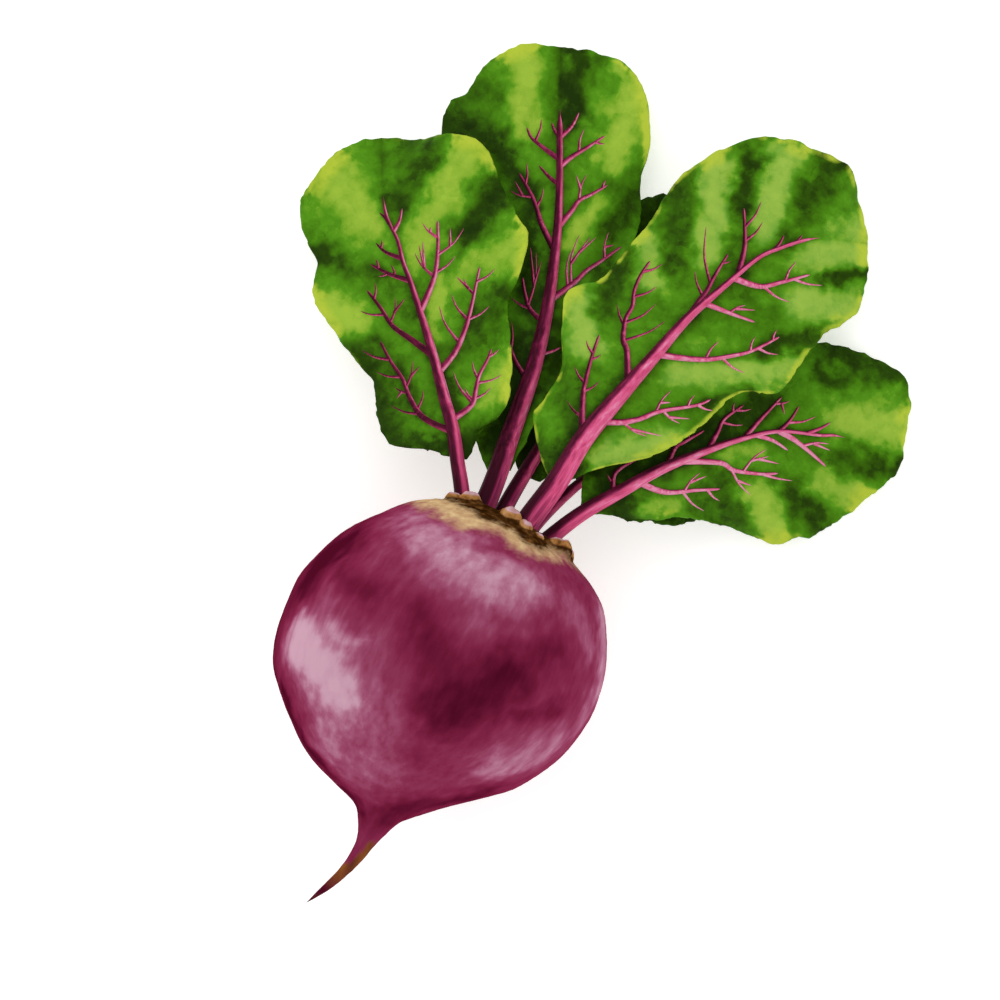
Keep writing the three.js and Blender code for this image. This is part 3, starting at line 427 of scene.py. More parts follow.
            ([(15, 66), (22, 64.5), (29, 63.5)], []),
            ([(25, 77), (32, 73), (40, 69.5)], []),
            ([(36, 82), (43, 80.5), (50, 78)], []),
        ],
        "patches": [],
    },
    {
        "name": "6", "rimmed": 0.15, "bloom": 0.04, "rib_radius": (2.3, 0.45), "rib_end": 0.84,
        "rib": [(9.5, 35, 44), (11.5, 42, 43), (16.5, 53, 39.5), (23.5, 64, 34.5), (30.5, 74.5, 28.5),
            (38.5, 84, 22.5), (46.5, 92.5, 17), (55, 99.5, 12.5), (66, 104, 8.5), (72, 106.5, 6.5),
            (90, 109, 3)],
        "left": [(15.5, 55.5, 39.5), (13.5, 60, 37.5), (12, 67.5, 33.5), (18.5, 79, 27.5), (30, 93.5, 20),
            (39.5, 106, 15), (47.5, 120.5, 10.5), (54, 127, 8.5), (62, 129.5, 6.5), (71.5, 130.5, 4.5),
            (80, 129, 3.5), (84.5, 124, 3), (87, 116.5, 3)],
        "right": [(19, 54.8, 38.5), (28, 58, 33), (36, 61.5, 27), (44, 66.5, 20.5), (54, 69, 13.5),
            (63, 70, 9), (69.5, 71, 6.5), (74, 76, 5), (77.5, 78, 4), (85, 91.5, 3), (89.5, 103, 3)],
        "folds": [0.3, 0.55, 0.72, 0.84, 1, 1.13, 1.24, 1.37, 1.55, 1.7, 1.85],
        "veins": [
            ([(21.5, 62.5), (20, 66.5), (20.5, 69.5), (24, 75)], [(18, 66.5)]),
            ([(31.5, 76.5), (31.5, 82), (33, 84.5), (36.5, 90)], [(33.5, 87)]),
            ([(39.5, 86), (40, 91.5), (40, 95.5), (43, 101.5)], [(40.5, 101), (45.5, 101.5), (45.5, 96.5)]),
            ([(47, 94), (49, 100), (51.5, 108.5)], [(54, 108.5), (54.5, 104.5)]),
            ([(55, 100), (56.5, 103.5), (57, 108.5)], [(62.5, 108)]),
            ([(62.5, 103), (65, 105.5), (67, 108.5)], []),
            ([(27.5, 68), (34.5, 69.5), (42, 74), (48, 77.5)],
             [(47, 70), (41, 79), (49.5, 74.5), (43, 79)]),
            ([(34.5, 79), (44.5, 84), (49, 84), (56, 86.5), (60.5, 89)],
             [(54.5, 93.5), (56, 92), (56.5, 80), (55.5, 82.5), (59.5, 91.5), (65, 89)]),
            ([(50, 95.5), (55, 96.5), (60, 96)], []),
            ([(55, 100), (60, 99.5), (65.5, 98.5), (71.5, 97)], [(69.5, 103), (70.5, 101.5)]),
        ],
        "patches": [((57, 127), (78, 129.5), 4, -0.71), ((56, 120), (65, 120), 2.5, -0.6),
            ((51.5, 121), (59.5, 123.5), 2, -0.2), ((86, 116), (70, 110), 5, 0.8),
            ((80.5, 124.5), (67, 116.5), 2.5, 0.2), ((91, 106), (75, 99.5), 3.5, -0.67),
            ((86.5, 93), (73, 93), 3.5, 0.65), ((79, 81), (66.5, 85.5), 3.5, -0.71),
            ((68.5, 72.5), (57.5, 81), 3.5, 0.8), ((57.5, 72.5), (45.5, 79), 3.5, -0.55),
            ((51.5, 93), (45.5, 86.5), 2.5, 0.5), ((38.5, 68), (32, 62.5), 2, 0.5),
            ((16, 64.5), (27, 59.5), 4, -0.71), ((48.5, 105.5), (31, 79), 3.5, -0.71),
            ((29, 75), (15.5, 66), 3, -0.67), ((60.5, 93.5), (70.5, 96), 3, 0.1),
            ((44.5, 70.5), (53, 69), 3, -0.4)],
    },
]

# How pink each leaf's stalk is, partly painted shade that makes the stalks at the back darker, and how far
# round from its painted shaded side the painted lit pink begins, from -1 to 1
STALK_TONES = {
    "1": (0.12, -0.15), "2": (0.0, 0.1), "3": (-0.04, 0.0), "4": (0.08, -0.3), "5": (-0.1, 0.05),
    "6": (0.15, -0.05),
}
# The rows along each blade and the columns of each of its halves
GRIDS = {"1": (150, 60), "2": (150, 60), "3": (90, 36), "4": (160, 64), "5": (90, 36), "6": (150, 60)}
PAINTED_LIT_SIDE = Vector((0.99, -0.14, 0.0))  # painted light and shade: the side of a stalk facing this way is painted the pinkest, the side away dark


# ---- Shared helpers ----

def linear(colour):
    """A hex sRGB colour as linear light."""
    shares = [int(colour[i:i + 2], 16) / 255 for i in (1, 3, 5)]
    return tuple(c / 12.92 if c <= 0.04045 else ((c + 0.055) / 1.055) ** 2.4 for c in shares) + (1.0,)


def smoothstep(values, low, high):
    share = np.clip((values - low) / (high - low), 0, 1)
    return share * share * (3 - 2 * share)


def fading(away, reach):
    """1 at no distance, fading softly to 0 beyond reach."""
    return np.exp(-((away / reach) ** 2))


def smooth_line(stops, clamped=False, samples=LINE_SAMPLES):
    """Places evenly spaced by length along a smooth line through stops."""
    stops = np.array(stops, float)
    before, after = stops[0], stops[-1]
    if not clamped:
        before, after = 2 * stops[0] - stops[1], 2 * stops[-1] - stops[-2]
    line = spline(np.vstack([before, stops, after]), np.linspace(0, len(stops) - 1, 8 * samples))
    lengths = np.concatenate([[0], np.cumsum(np.linalg.norm(np.diff(line, axis=0), axis=1))])
    even = np.linspace(0, lengths[-1], samples + 1)
    return np.column_stack([np.interp(even, lengths, line[:, k]) for k in range(line.shape[1])])


def spline(stops, places):
    """A uniform Catmull-Rom spline; places count its spans from the second stop."""
    span = np.minimum(places.astype(int), len(stops) - 4)
    f = (places - span)[:, None]
    a, b, c, d = stops[span], stops[span + 1], stops[span + 2], stops[span + 3]
    return b + 0.5 * f * (c - a + f * (2 * a - 5 * b + 4 * c - d + f * (3 * b - a - 3 * c + d)))


def on_line(line, share):
    """The places at shares of a line's length, from 0 to 1."""
    steps = np.linspace(0, 1, len(line))
    return np.column_stack([np.interp(share, steps, line[:, k]) for k in range(line.shape[1])])


def length_of(line):
    return float(np.linalg.norm(np.diff(line, axis=0), axis=1).sum())


def nearest(line, places):
    """For each place, how far it is from a line, and the share of the line at which it is nearest."""
    best = np.full(len(places), np.inf)
    share = np.zeros(len(places))
    for k in range(len(line) - 1):
        start, run = line[k], line[k + 1] - line[k]
        along = np.clip((places - start) @ run / max(run @ run, 1e-12), 0, 1)
        away = np.linalg.norm(places - start - along[:, None] * run, axis=1)
        closer = away < best
        best[closer] = away[closer]
        share[closer] = (k + along[closer]) / (len(line) - 1)
    return best, share


def rough(places, size, seed, depth):
    """Soft noise from about -1 to 1, its lumps about size across."""
    shift = Vector((seed, -seed, 0.5 * seed))
    return np.array([noise.fractal(Vector(p) / size + shift, 0.6, 2.0, depth) for p in places])


def wandered(places, reach, size, seed=0.0):
    """Places strayed by up to about reach, so that what is laid out by them has uneven edges."""
    return places + reach * np.column_stack([rough(places, size, seed + k, 3) for k in (41, 52, 63)])


def patched(places, patches, sharpness):
    """The shade that the patches give each place, lighter above 0. Sharper ones have harder edges."""
    lighter = np.zeros(len(places))
    darker = np.zeros(len(places))
    for start, end, reach, shade in patches:
        start, run = np.array(start, float), np.array(end, float) - np.array(start, float)
        along = np.clip((places - start) @ run / max(run @ run, 1e-9), 0, 1)
        away = np.linalg.norm(places - start - along[:, None] * run, axis=1)
        reached = shade * np.exp(-((away / (PATCH_SPREAD * reach)) ** sharpness))
        lighter = np.maximum(lighter, reached)
        darker = np.minimum(darker, reached)
    return lighter + darker


def places_of(bm):
    return np.array([v.co for v in bm.verts], float)


def put(bm, places):
    for vert, place in zip(bm.verts, places):
        vert.co = place


def layer_of(layers, name):
    return layers.get(name) or layers.new(name)


def paint(bm, name, values):
    """Keeps a value at each point of a mesh for its material."""
    layer = layer_of(bm.verts.layers.float, name)
    for vert, value in zip(bm.verts, values):
        vert[layer] = float(value)


def finished(bm, name, materials, node):
    """The mesh as a piece that rides on the root and stands for its solid."""
    bmesh.ops.scale(bm, vec=(MM, MM, MM), verts=bm.verts)
    mesh = bpy.data.meshes.new(name)
    bm.to_mesh(mesh)
    bm.free()
    mesh.shade_smooth()
    for material in materials:
        mesh.materials.append(material)
    piece = bpy.data.objects.new(name, mesh)
    bpy.context.scene.collection.objects.link(piece)
    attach(piece, "root")
    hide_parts(node)
    return piece


# ---- Finishes ----

def new_material(name):
    material = bpy.data.materials.new(name)
    material.use_nodes = True
    material.node_tree.nodes.clear()
    return material


def add(owner, kind, inputs=None, stops=None, **settings):
    """Adds a node to a material or the world. inputs holds a value or another node's output for each
    socket, stops a ramp's colours."""
    tree = owner.node_tree
    node = tree.nodes.new("ShaderNode" + kind)
    for name, value in settings.items():
        setattr(node, name, value)
    for socket, value in (inputs or {}).items():
        if isinstance(value, bpy.types.NodeSocket):
            tree.links.new(value, node.inputs[socket])
        else:
            node.inputs[socket].default_value = value
    if stops:
        elements = node.color_ramp.elements
        while len(elements) < len(stops):
            elements.new(1.0)
        for element, (place, colour) in zip(elements, stops):
            element.position = place
            element.color = linear(colour)
    return node


def beet_skin():
    """Beetroot skin, washed and rubbed dry: thin and matt with no shine, so that its dark red stays deep
    out to the edge, with painted highlights where it is paler and painted shade where it is darker, dry cork
    at the crown and an earthy tail."""
    m = new_material("beet_skin_washed")
    place = add(m, "TexCoord").outputs["Object"]
    drawn = add(m, "Mapping", {"Vector": place, "Scale": STREAKED}).outputs["Vector"]
    streaks = add(m, "TexNoise", {"Vector": drawn, "Scale": 1 / (STREAK_SIZE * MM), "Detail": 5.0,
                                  "Roughness": 0.55}).outputs["Fac"]
    shade = add(m, "Attribute", attribute_name="shade").outputs["Fac"]
    ruffled = add(m, "MapRange", {"Value": streaks, "From Min": 0.25, "From Max": 0.75,
                                  "To Min": -0.16, "To Max": 0.16}).outputs["Result"]
    tone = add(m, "Math", {0: shade, 1: ruffled}, operation="ADD").outputs[0]
    level = add(m, "MapRange", {"Value": tone, "From Min": -1.0, "From Max": 1.0}).outputs["Result"]
    # the ramp runs from the painted shade's dark red to the painted highlights' pale lilac
    colour = add(m, "ValToRGB", {"Fac": level}, stops=[
        (0.12, "#4B0A21"), (0.22, "#5A102B"), (0.34, "#6C1936"), (0.46, "#7D2445"), (0.56, "#883352"),
        (0.66, "#9A4D6C"), (0.76, "#B0748C"), (0.85, "#C294A7"), (0.93, "#C79BAD")]).outputs["Color"]
    crumbs = add(m, "TexNoise", {"Vector": place, "Scale": 1 / (CRUMB_SIZE * MM), "Detail": 3.5,
                                 "Roughness": 0.55}).outputs["Fac"]
    blots = add(m, "TexNoise", {"Vector": place, "Scale": 1 / (BLOT_SIZE * MM), "Detail": 5.0,
                                "Roughness": 0.6}).outputs["Fac"]
    # (what is painted, its pattern and colours, the value at which it starts and is full, how ragged its
    # edge is)
    layers = [
        ("tan", crumbs, [(0.3, "#B48D66"), (0.48, "#C5A277"), (0.66, "#D6B888")], -2.4, 2.8, 2.0),
        ("brown", crumbs, [(0.32, "#241202"), (0.48, "#3A210B"), (0.6, "#553517"), (0.74, "#7A542B")],
         -1.6, 1.8, 1.8),
        ("flank", crumbs, [(0.35, "#6E4522"), (0.5, "#A5733F"), (0.65, "#BC8B5C")], 0.2, 0.9, 0.4),
        # the stubs' pale tops are a painted highlight
        ("stub", crumbs, [(0.3, "#A87C74"), (0.5, "#BE949A"), (0.68, "#CDA9B6")], 0.15, 0.85, 0.3),
        ("tail", streaks, [(0.3, "#5E3022"), (0.5, "#784224"), (0.7, "#8C5426")], 0.15, 0.85, 0.3),
    ]
    for name, pattern, stops, start, full, ragged in layers:
        finish = add(m, "ValToRGB", {"Fac": pattern}, stops=stops).outputs["Color"]
        amount = add(m, "Attribute", attribute_name=name).outputs["Fac"]
        frayed = add(m, "MapRange", {"Value": blots, "From Min": 0.3, "From Max": 0.7,
                                     "To Min": -ragged / 2, "To Max": ragged / 2}).outputs["Result"]
        torn = add(m, "Math", {0: amount, 1: frayed}, operation="ADD").outputs[0]
        cover = add(m, "MapRange", {"Value": torn, "From Min": start, "From Max": full},
                    interpolation_type="SMOOTHSTEP").outputs["Result"]
        colour = add(m, "Mix", {"Factor": cover, "A": colour, "B": finish},
                     data_type="RGBA").outputs["Result"]
    pores = add(m, "TexNoise", {"Vector": place, "Scale": 1 / (PORE_SIZE * MM), "Detail": 4.0}).outputs["Fac"]
    beyond = add(m, "Attribute", attribute_name="tan").outputs["Fac"]
    dry = add(m, "MapRange", {"Value": beyond}).outputs["Result"]
    roughness = add(m, "MapRange", {"Value": dry, "To Min": 0.45, "To Max": 0.8}).outputs["Result"]
    relief = add(m, "Math", {0: pores, 1: crumbs}, operation="ADD").outputs[0]
    depth = add(m, "MapRange", {"Value": dry, "To Min": 0.12, "To Max": 0.35}).outputs["Result"]
    bump = add(m, "Bump", {"Height": relief, "Strength": depth, "Distance": 0.25 * MM}).outputs["Normal"]
    shader = add(m, "BsdfPrincipled", {"Base Color": colour, "Roughness": roughness, "Normal": bump,
                                       "Specular IOR Level": 0.0})
    add(m, "OutputMaterial", {"Surface": shader.outputs[0]})
    return m


def stalk_skin():
    """The skin of a fleshy stalk: smooth, taut and nearly matt, with fine strings running along it. Painted
    light makes one side bright pink and painted shade makes the other dark red."""
    m = new_material("beet_stalk_skin")
    lit = add(m, "Attribute", attribute_name="lit").outputs["Fac"]
    grain = add(m, "Attribute", attribute_name="grain").outputs["Vector"]
    mottle = add(m, "TexNoise", {"Vector": grain, "Scale": 1 / (MOTTLE_SIZE * MM), "Detail": 4.0,
                                 "Roughness": 0.6}).outputs["Fac"]
    speckle = add(m, "MapRange", {"Value": mottle, "From Min": 0.3, "From Max": 0.7,
                                  "To Min": -0.4, "To Max": 0.4}).outputs["Result"]
    tone = add(m, "Math", {0: lit, 1: speckle}, operation="ADD").outputs[0]
    level = add(m, "MapRange", {"Value": tone, "From Min": -1.2, "From Max": 1.2}).outputs["Result"]
    # from the dark red of the painted shaded side to the pale pink of the painted lit side
    skin = add(m, "ValToRGB", {"Fac": level}, stops=[
        (0.1, "#36081A"), (0.27, "#54102C"), (0.4, "#761B40"), (0.5, "#8C2D55"),
        (0.61, "#AE3C66"), (0.74, "#D2507D"), (0.86, "#DD6A94"), (0.97, "#E693B2")]).outputs["Color"]
    strings = add(m, "Attribute", attribute_name="string").outputs["Fac"]
    relief = add(m, "Math", {0: strings, 1: mottle}, operation="ADD").outputs[0]
    bump = add(m, "Bump", {"Height": relief, "Strength": 0.15, "Distance": 0.15 * MM}).outputs["Normal"]
    shader = add(m, "BsdfPrincipled", {"Base Color": skin, "Roughness": 0.42, "Normal": bump, "IOR": 1.42,
                                       "Specular IOR Level": 0.05})
    add(m, "OutputMaterial", {"Surface": shader.outputs[0]})
    return m


def leaf_skin(name, dull):
    """A beet leaf's skin: thin, smooth and nearly matt above, blistered, with a net of fine veins, and
    paler and dull on the underside, where it is pink beside the veins."""
    m = new_material(name)
    place = add(m, "TexCoord").outputs["Object"]
    shade, bloom, rim = (add(m, "Attribute", attribute_name=kept).outputs["Fac"]
                         for kept in ("shade", "bloom", "rim"))
    dabs = add(m, "TexNoise", {"Vector": place, "Scale": 1 / (DAB_SIZE * MM), "Detail": 5.0,
                               "Roughness": 0.6}).outputs["Fac"]
    ruffled = add(m, "MapRange", {"Value": dabs, "From Min": 0.25, "From Max": 0.75,
                                  "To Min": -0.26, "To Max": 0.26}).outputs["Result"]
    tone = add(m, "Math", {0: shade, 1: ruffled}, operation="ADD").outputs[0]
    warp = add(m, "TexNoise", {"Vector": place, "Scale": 1 / (WARP_SIZE * MM),
                               "Detail": 3.0}).outputs["Color"]
    bent = add(m, "VectorMath", {0: warp, 1: [BLISTER_WARP * MM] * 3, 2: place},
               operation="MULTIPLY_ADD").outputs["Vector"]
    blister = add(m, "TexVoronoi", {"Vector": bent, "Scale": 1 / (BLISTER_SIZE * MM)}).outputs["Color"]
    parted = add(m, "SeparateColor", {"Color": blister}).outputs["Red"]
    swelling = add(m, "MapRange", {"Value": parted, "To Min": -0.1, "To Max": 0.1}).outputs["Result"]
    tone = add(m, "Math", {0: tone, 1: swelling}, operation="ADD").outputs[0]
    level = add(m, "MapRange", {"Value": tone, "From Min": -1.1, "From Max": 1.1}).outputs["Result"]
    # the greens run from the painted shade's dark green to the painted light's yellow green
    colour = add(m, "ValToRGB", {"Fac": level}, stops=[
        (0.06, "#1C3204"), (0.18, "#284406"), (0.29, "#366008"), (0.43, "#457B0E"),
        (0.58, "#549218"), (0.69, "#76A628"), (0.8, "#8AB134"), (0.95, "#9ABC3C")]).outputs["Color"]
    swing = add(m, "Math", {0: ruffled, 1: 2.2, 2: 1.0}, operation="MULTIPLY_ADD").outputs[0]
    frayed = add(m, "Math", {0: rim, 1: swing}, operation="MULTIPLY").outputs[0]
    yellowed = add(m, "MapRange", {"Value": frayed, "From Min": 0.2, "From Max": 0.9,
                                   "To Max": 0.85}).outputs["Result"]
    # (how much, of what colour), each over the one before
    # the milkier green of the painted highlights, then the yellow edge
    coats = [(bloom, "#A9CC78"), (yellowed, "#B7C83C")]
    if dull:
        blush = add(m, "Attribute", attribute_name="blush").outputs["Fac"]
        coats += [(0.4, "#8FA86A"), (blush, "#A9607A")]
    for amount, tint in coats:
        colour = add(m, "Mix", {"Factor": amount, "A": colour, "B": linear(tint)},
                     data_type="RGBA").outputs["Result"]
    net = add(m, "TexVoronoi", {"Vector": place, "Scale": 1 / (NET_SIZE * MM)},
              feature="DISTANCE_TO_EDGE").outputs["Distance"]
    cells = add(m, "MapRange", {"Value": net, "From Max": 0.12}).outputs["Result"]
    grain = add(m, "TexNoise", {"Vector": place, "Scale": 1 / (LEAF_GRAIN_SIZE * MM),
                                "Detail": 3.0}).outputs["Fac"]
    faint = add(m, "Math", {0: cells, 1: 0.35}, operation="MULTIPLY").outputs[0]
    relief = add(m, "Math", {0: faint, 1: grain}, operation="ADD").outputs[0]
    bump = add(m, "Bump", {"Height": relief, "Strength": 0.12, "Distance": 0.2 * MM}).outputs["Normal"]
    shader = add(m, "BsdfPrincipled", {"Base Color": colour, "Roughness": 0.62 if dull else 0.5,
                                       "Normal": bump, "IOR": 1.42, "Specular IOR Level": 0.04})
    add(m, "OutputMaterial", {"Surface": shader.outputs[0]})
    return m


def studio_paper():
    """Seamless matt paper, a warm white with the faintest tooth."""
    m = new_material("studio_paper")
    place = add(m, "TexCoord").outputs["Object"]
    tooth = add(m, "TexNoise", {"Vector": place, "Scale": 1 / (TOOTH_SIZE * MM),
                                "Detail": 2.0}).outputs["Fac"]
    bump = add(m, "Bump", {"Height": tooth, "Strength": 0.04, "Distance": 0.1 * MM}).outputs["Normal"]
    shader = add(m, "BsdfPrincipled", {"Base Color": linear("#F7F6F4"), "Roughness": 0.9, "Normal": bump,
                                       "Emission Color": linear("#FFFFFF"), "Emission Strength": 0.46})
    add(m, "OutputMaterial", {"Surface": shader.outputs[0]})
    return m


# ---- Root ----

def root_profile():
    """The root's outline as a smooth row of [radius, place along the axis, shift]."""
    stops = np.array([(radius, along, shift) for along, radius, shift in ROOT_OUTLINE])
    stops = np.vstack([stops[0], stops, stops[-1]])
    spans = len(stops) - 3
    line = spline(stops, np.linspace(0, spans, spans * RINGS_PER_SPAN + 1))
    line[:, 0] = np.maximum(line[:, 0], 0)
    return line


def turned_root(profile):
    """The outline turned about the root's own axis, which is Y."""
    bm = bmesh.new()
    verts = [bm.verts.new((radius, along, 0)) for radius, along, _ in profile]
    edges = [bm.edges.new(pair) for pair in zip(verts, verts[1:])]
    bmesh.ops.spin(bm, geom=verts + edges, cent=(0, 0, 0), axis=(0, 1, 0), dvec=(0, 0, 0),
                   angle=2 * math.pi, steps=ROOT_STEPS, use_merge=True)
    bmesh.ops.remove_doubles(bm, verts=bm.verts, dist=1e-4)
    bmesh.ops.recalc_face_normals(bm, faces=bm.faces)
    return bm


def swelled(places, profile):
    """The turned shape swelled and sunk a little round its axis, and its middle shifted sideways."""
    angle = np.arctan2(places[:, 0], places[:, 2])
    lobes = 1 + LOBE_DEPTH * (np.cos(3 * angle + 0.6) + 0.7 * np.sin(5 * angle))
    rising = profile[:np.argmax(profile[:, 1]) + 1]
    shift = np.interp(places[:, 1], rising[:, 1], rising[:, 2])
    return np.column_stack([places[:, 0] * lobes + shift, places[:, 1], places[:, 2] * lobes])


def normals_of(bm):
    bm.normal_update()
    return np.array([v.normal for v in bm.verts], float)


def beyond_edge(places, edge):
    """How far places lie beyond an edge round the crown."""
    degrees = np.degrees(np.arctan2(places[:, 0] - CROWN_RIM["shift"], places[:, 2]))
    turns, along = zip(*edge)
    return places[:, 1] - np.interp(degrees, turns, along)


def skin_relief(places):
    """How far the skin rises or sinks: slow dents, fine creases round the bulb and rough cork."""
    x, y, z = places.T
    angle = np.arctan2(x, z)
    bulb = smoothstep(y, *BULB_SPAN)
    dents = DENT * rough(places, DENT_SIZE, 3.1, 2) * bulb
    drawn = [WRINKLE_ROUND * np.sin(angle), y / WRINKLE_SPACING, WRINKLE_ROUND * np.cos(angle)]
    creases = rough(np.column_stack(drawn), WRINKLE_SIZE, 7.7, 2)
    twisted = np.sin(angle - FURROW_TURN - FURROW_TWIST * y)
    furrows = fading(twisted, FURROW_WIDTH) * smoothstep(y, *FURROW_SPAN) * bulb
    cork = smoothstep(beyond_edge(places, CORK_EDGE), 0, CORK_BLEND)
    scales = rough(places, BARK_SIZE, 12.3, 3)
    return dents + WRINKLE * creases * (1 - cork) - FURROW * furrows + BARK * cork * scales


def crown_rise(places, outward):
    """How far the stubs of old leaves raise the crown along outward."""
    reach = np.linspace(CROWN_REACH, 0, CROWN_STEPS)
    rise = np.zeros(len(places))
    cap = np.zeros(len(places))
    done = np.zeros(len(places), bool)
    before = None
    for step in reach:
        field, top = stub_distance(places + step * outward)
        gap = np.maximum(KNOB_FILLET - np.abs(field - step), 0) / KNOB_FILLET
        joined = np.minimum(field, step) - gap * gap * KNOB_FILLET / 4
        hit = (joined <= 0) & ~done
        if before is not None:
            share = np.clip(joined / np.where(np.abs(joined - before) < 1e-9, 1e-9, joined - before), 0, 1)
            rise[hit] = (step + share * (reach[0] - reach[1]))[hit]
            cap[hit] = top[hit]
        done |= hit
        before = joined
    return rise, cap


def stub_distance(places):
    """How far places are outside the nearest stub, and how far up that stub they lie, from -1 to 1."""
    best = np.full(len(places), np.inf)
    top = np.zeros(len(places))
    for number, (degrees, radius, out, lean) in enumerate(KNOBS):
        angle = math.radians(degrees)
        outward = np.array([math.sin(angle), 0, math.cos(angle)])
        centre = outward * (CROWN_RIM["radius"] + out)
        centre += np.array([CROWN_RIM["shift"], CROWN_RIM["along"] - 0.5 * abs(out), 0])
        axis = lean * outward + np.array([0, math.sqrt(1 - lean ** 2), 0])
        away = places - centre
        up = away @ axis
        side = np.linalg.norm(away - up[:, None] * axis, axis=1)
        lumps = 1 + KNOB_LUMPS * np.sin(3 * np.arctan2(away[:, 2], away[:, 0]) + number)
        distance = np.sqrt(side ** 2 + (up / KNOB_LENGTH) ** 2) - radius * lumps
        distance = np.maximum(distance, up - KNOB_TOP * radius)
        closer = distance < best
        best[closer] = distance[closer]
        top[closer] = (up / radius)[closer]
    return best, top


def laid_down(places):
    """Places round the root's own axis, turned to its lie: crown end down, resting on its flat spot."""
    turn = np.array(Matrix.Rotation(-CROWN_DROP, 3, "X"), float)
    laid = places @ turn.T + np.array([0, 0, AXIS_HEIGHT])
    laid[:, 2] = np.maximum(laid[:, 2], 0)
    return laid


def on_top(surface, x, y):
    """The height of a surface at a place seen from above, or None beside it."""
    hit = surface.ray_cast(Vector((x, y, HEIGHT_OF_RAYS)), Vector((0, 0, -1)))[0]
    return None if hit is None else hit.z


def build_root(material):
    profile = root_profile()
    bm = turned_root(profile)
    places = swelled(places_of(bm), profile)
    put(bm, places)
    outward = normals_of(bm)
    relief = skin_relief(places)
    near_crown = places[:, 1] > CROWN_FROM
    star = places - np.array(CROWN_HEART)
    star /= np.linalg.norm(star, axis=1)[:, None]
    rise = np.zeros(len(places))
    cap = np.zeros(len(places))
    rise[near_crown], cap[near_crown] = crown_rise(places[near_crown], star[near_crown])
    places = places + relief[:, None] * outward + rise[:, None] * star

    along = places[:, 1]
    rags = CORK_RAGGED * rough(places, CORK_RAG_SIZE, 21.5, 4)
    paint(bm, "tan", beyond_edge(places, CORK_EDGE) + rags)
    rags = BARK_RAGGED * rough(places, BARK_RAG_SIZE, 31.2, 4)
    paint(bm, "brown", beyond_edge(places, BARK_EDGE) + rags)
    raised = smoothstep(rise, *KNOB_RAISED)
    paint(bm, "flank", raised * smoothstep(cap, *KNOB_FLANK))
    # the stubs' pale tops: a painted highlight
    paint(bm, "stub", raised * smoothstep(cap, *KNOB_CAP))
    middle = np.interp(along, profile[:, 1], profile[:, 2])
    half_width = np.interp(along, profile[:, 1], profile[:, 0]).clip(0.5)
    outer = ((places[:, 0] - middle) / half_width).clip(-1, 1)
    rags = EARTH_RAGGED * rough(places * np.array(STREAKED), EARTH_SIZE, 5.5, 3)
    earthy = along + rags - TAIL_LEANS * outer
    tip = smoothstep(-along, -TIP_FROM, -TIP_FULL)
    paint(bm, "tail", smoothstep(-earthy, -TAIL_FROM, -TAIL_FULL) * (1 - TIP_COVER * tip))

    laid = laid_down(places)
    put(bm, laid)
    surface = BVHTree.FromBMesh(bm)
    # painted highlights and painted shade laid on the skin from above, painted shade on the shady flank, and
    # the darker tip
    patches = [
        ((*start, on_top(surface, *start) or 0.0), (*end, on_top(surface, *end) or 0.0), reach, shade)
        for start, end, reach, shade in ROOT_LIGHT_AND_SHADE
    ]
    strayed = wandered(laid, SKIN_WANDER, SKIN_WANDER_SIZE)
    facing = normals_of(bm)
    shady = smoothstep(facing @ np.array(SHADY_SIDE), *SHADY_TURN)
    turned_away = smoothstep(-facing[:, 2], *RIM_TURN) * shady
    shade = patched(strayed, patches + HIDDEN_LIGHT_AND_SHADE, ROOT_PATCH_SHARPNESS) - TIP_SHADE * tip
    paint(bm, "shade", shade - RIM_SHADE * turned_away * (1 - smoothstep(shade, *PAINTED_HIGHLIGHT_LEVELS)))
    finished(bm, "beet_root", [material], "root")


# ---- Leaves ----

def leaf_lines(leaf):
    """A leaf's rib and edges as smooth lines, and the share of its rib where the blade begins."""
    tip = leaf["rib"][-1]
    rows = leaf["rib"], leaf["left"] + [tip], leaf["right"] + [tip]
    rib, left, right = (smooth_line(row) for row in rows)
    base = (left[0] + right[0]) / 2
    start = np.argmin(np.linalg.norm(rib - base, axis=1)) / LINE_SAMPLES
    return {"rib": rib, "left": left, "right": right, "start": start}


def rib_radius(leaf, share):
    base, end = leaf["rib_radius"]
    return base + (end - base) * smoothstep(share / leaf["rib_end"], RIB_EASE, 1.0)


def fold(leaf, around):
    """How far the edge is lifted or dipped, from -1 to 1, at a place round it from 0 to 2."""
    stops = np.array([0, *leaf["folds"], 2])
    heights = np.array([0, *[(-1, 1)[i % 2] for i in range(len(leaf["folds"]))], 0])
    after = np.clip(np.searchsorted(stops, around), 1, len(stops) - 1)
    share = (around - stops[after - 1]) / (stops[after] - stops[after - 1])
    eased = (1 - np.cos(np.pi * share)) / 2
    return heights[after - 1] + (heights[after] - heights[after - 1]) * eased


def calmed(heights, rounds):
    """A grid of heights evened out a little, its border kept."""
    for _ in range(rounds):
        inner = (heights[:-2, 1:-1] + heights[2:, 1:-1] + heights[1:-1, :-2] + heights[1:-1, 2:]) / 4
        heights[1:-1, 1:-1] = (heights[1:-1, 1:-1] + inner) / 2
    return heights


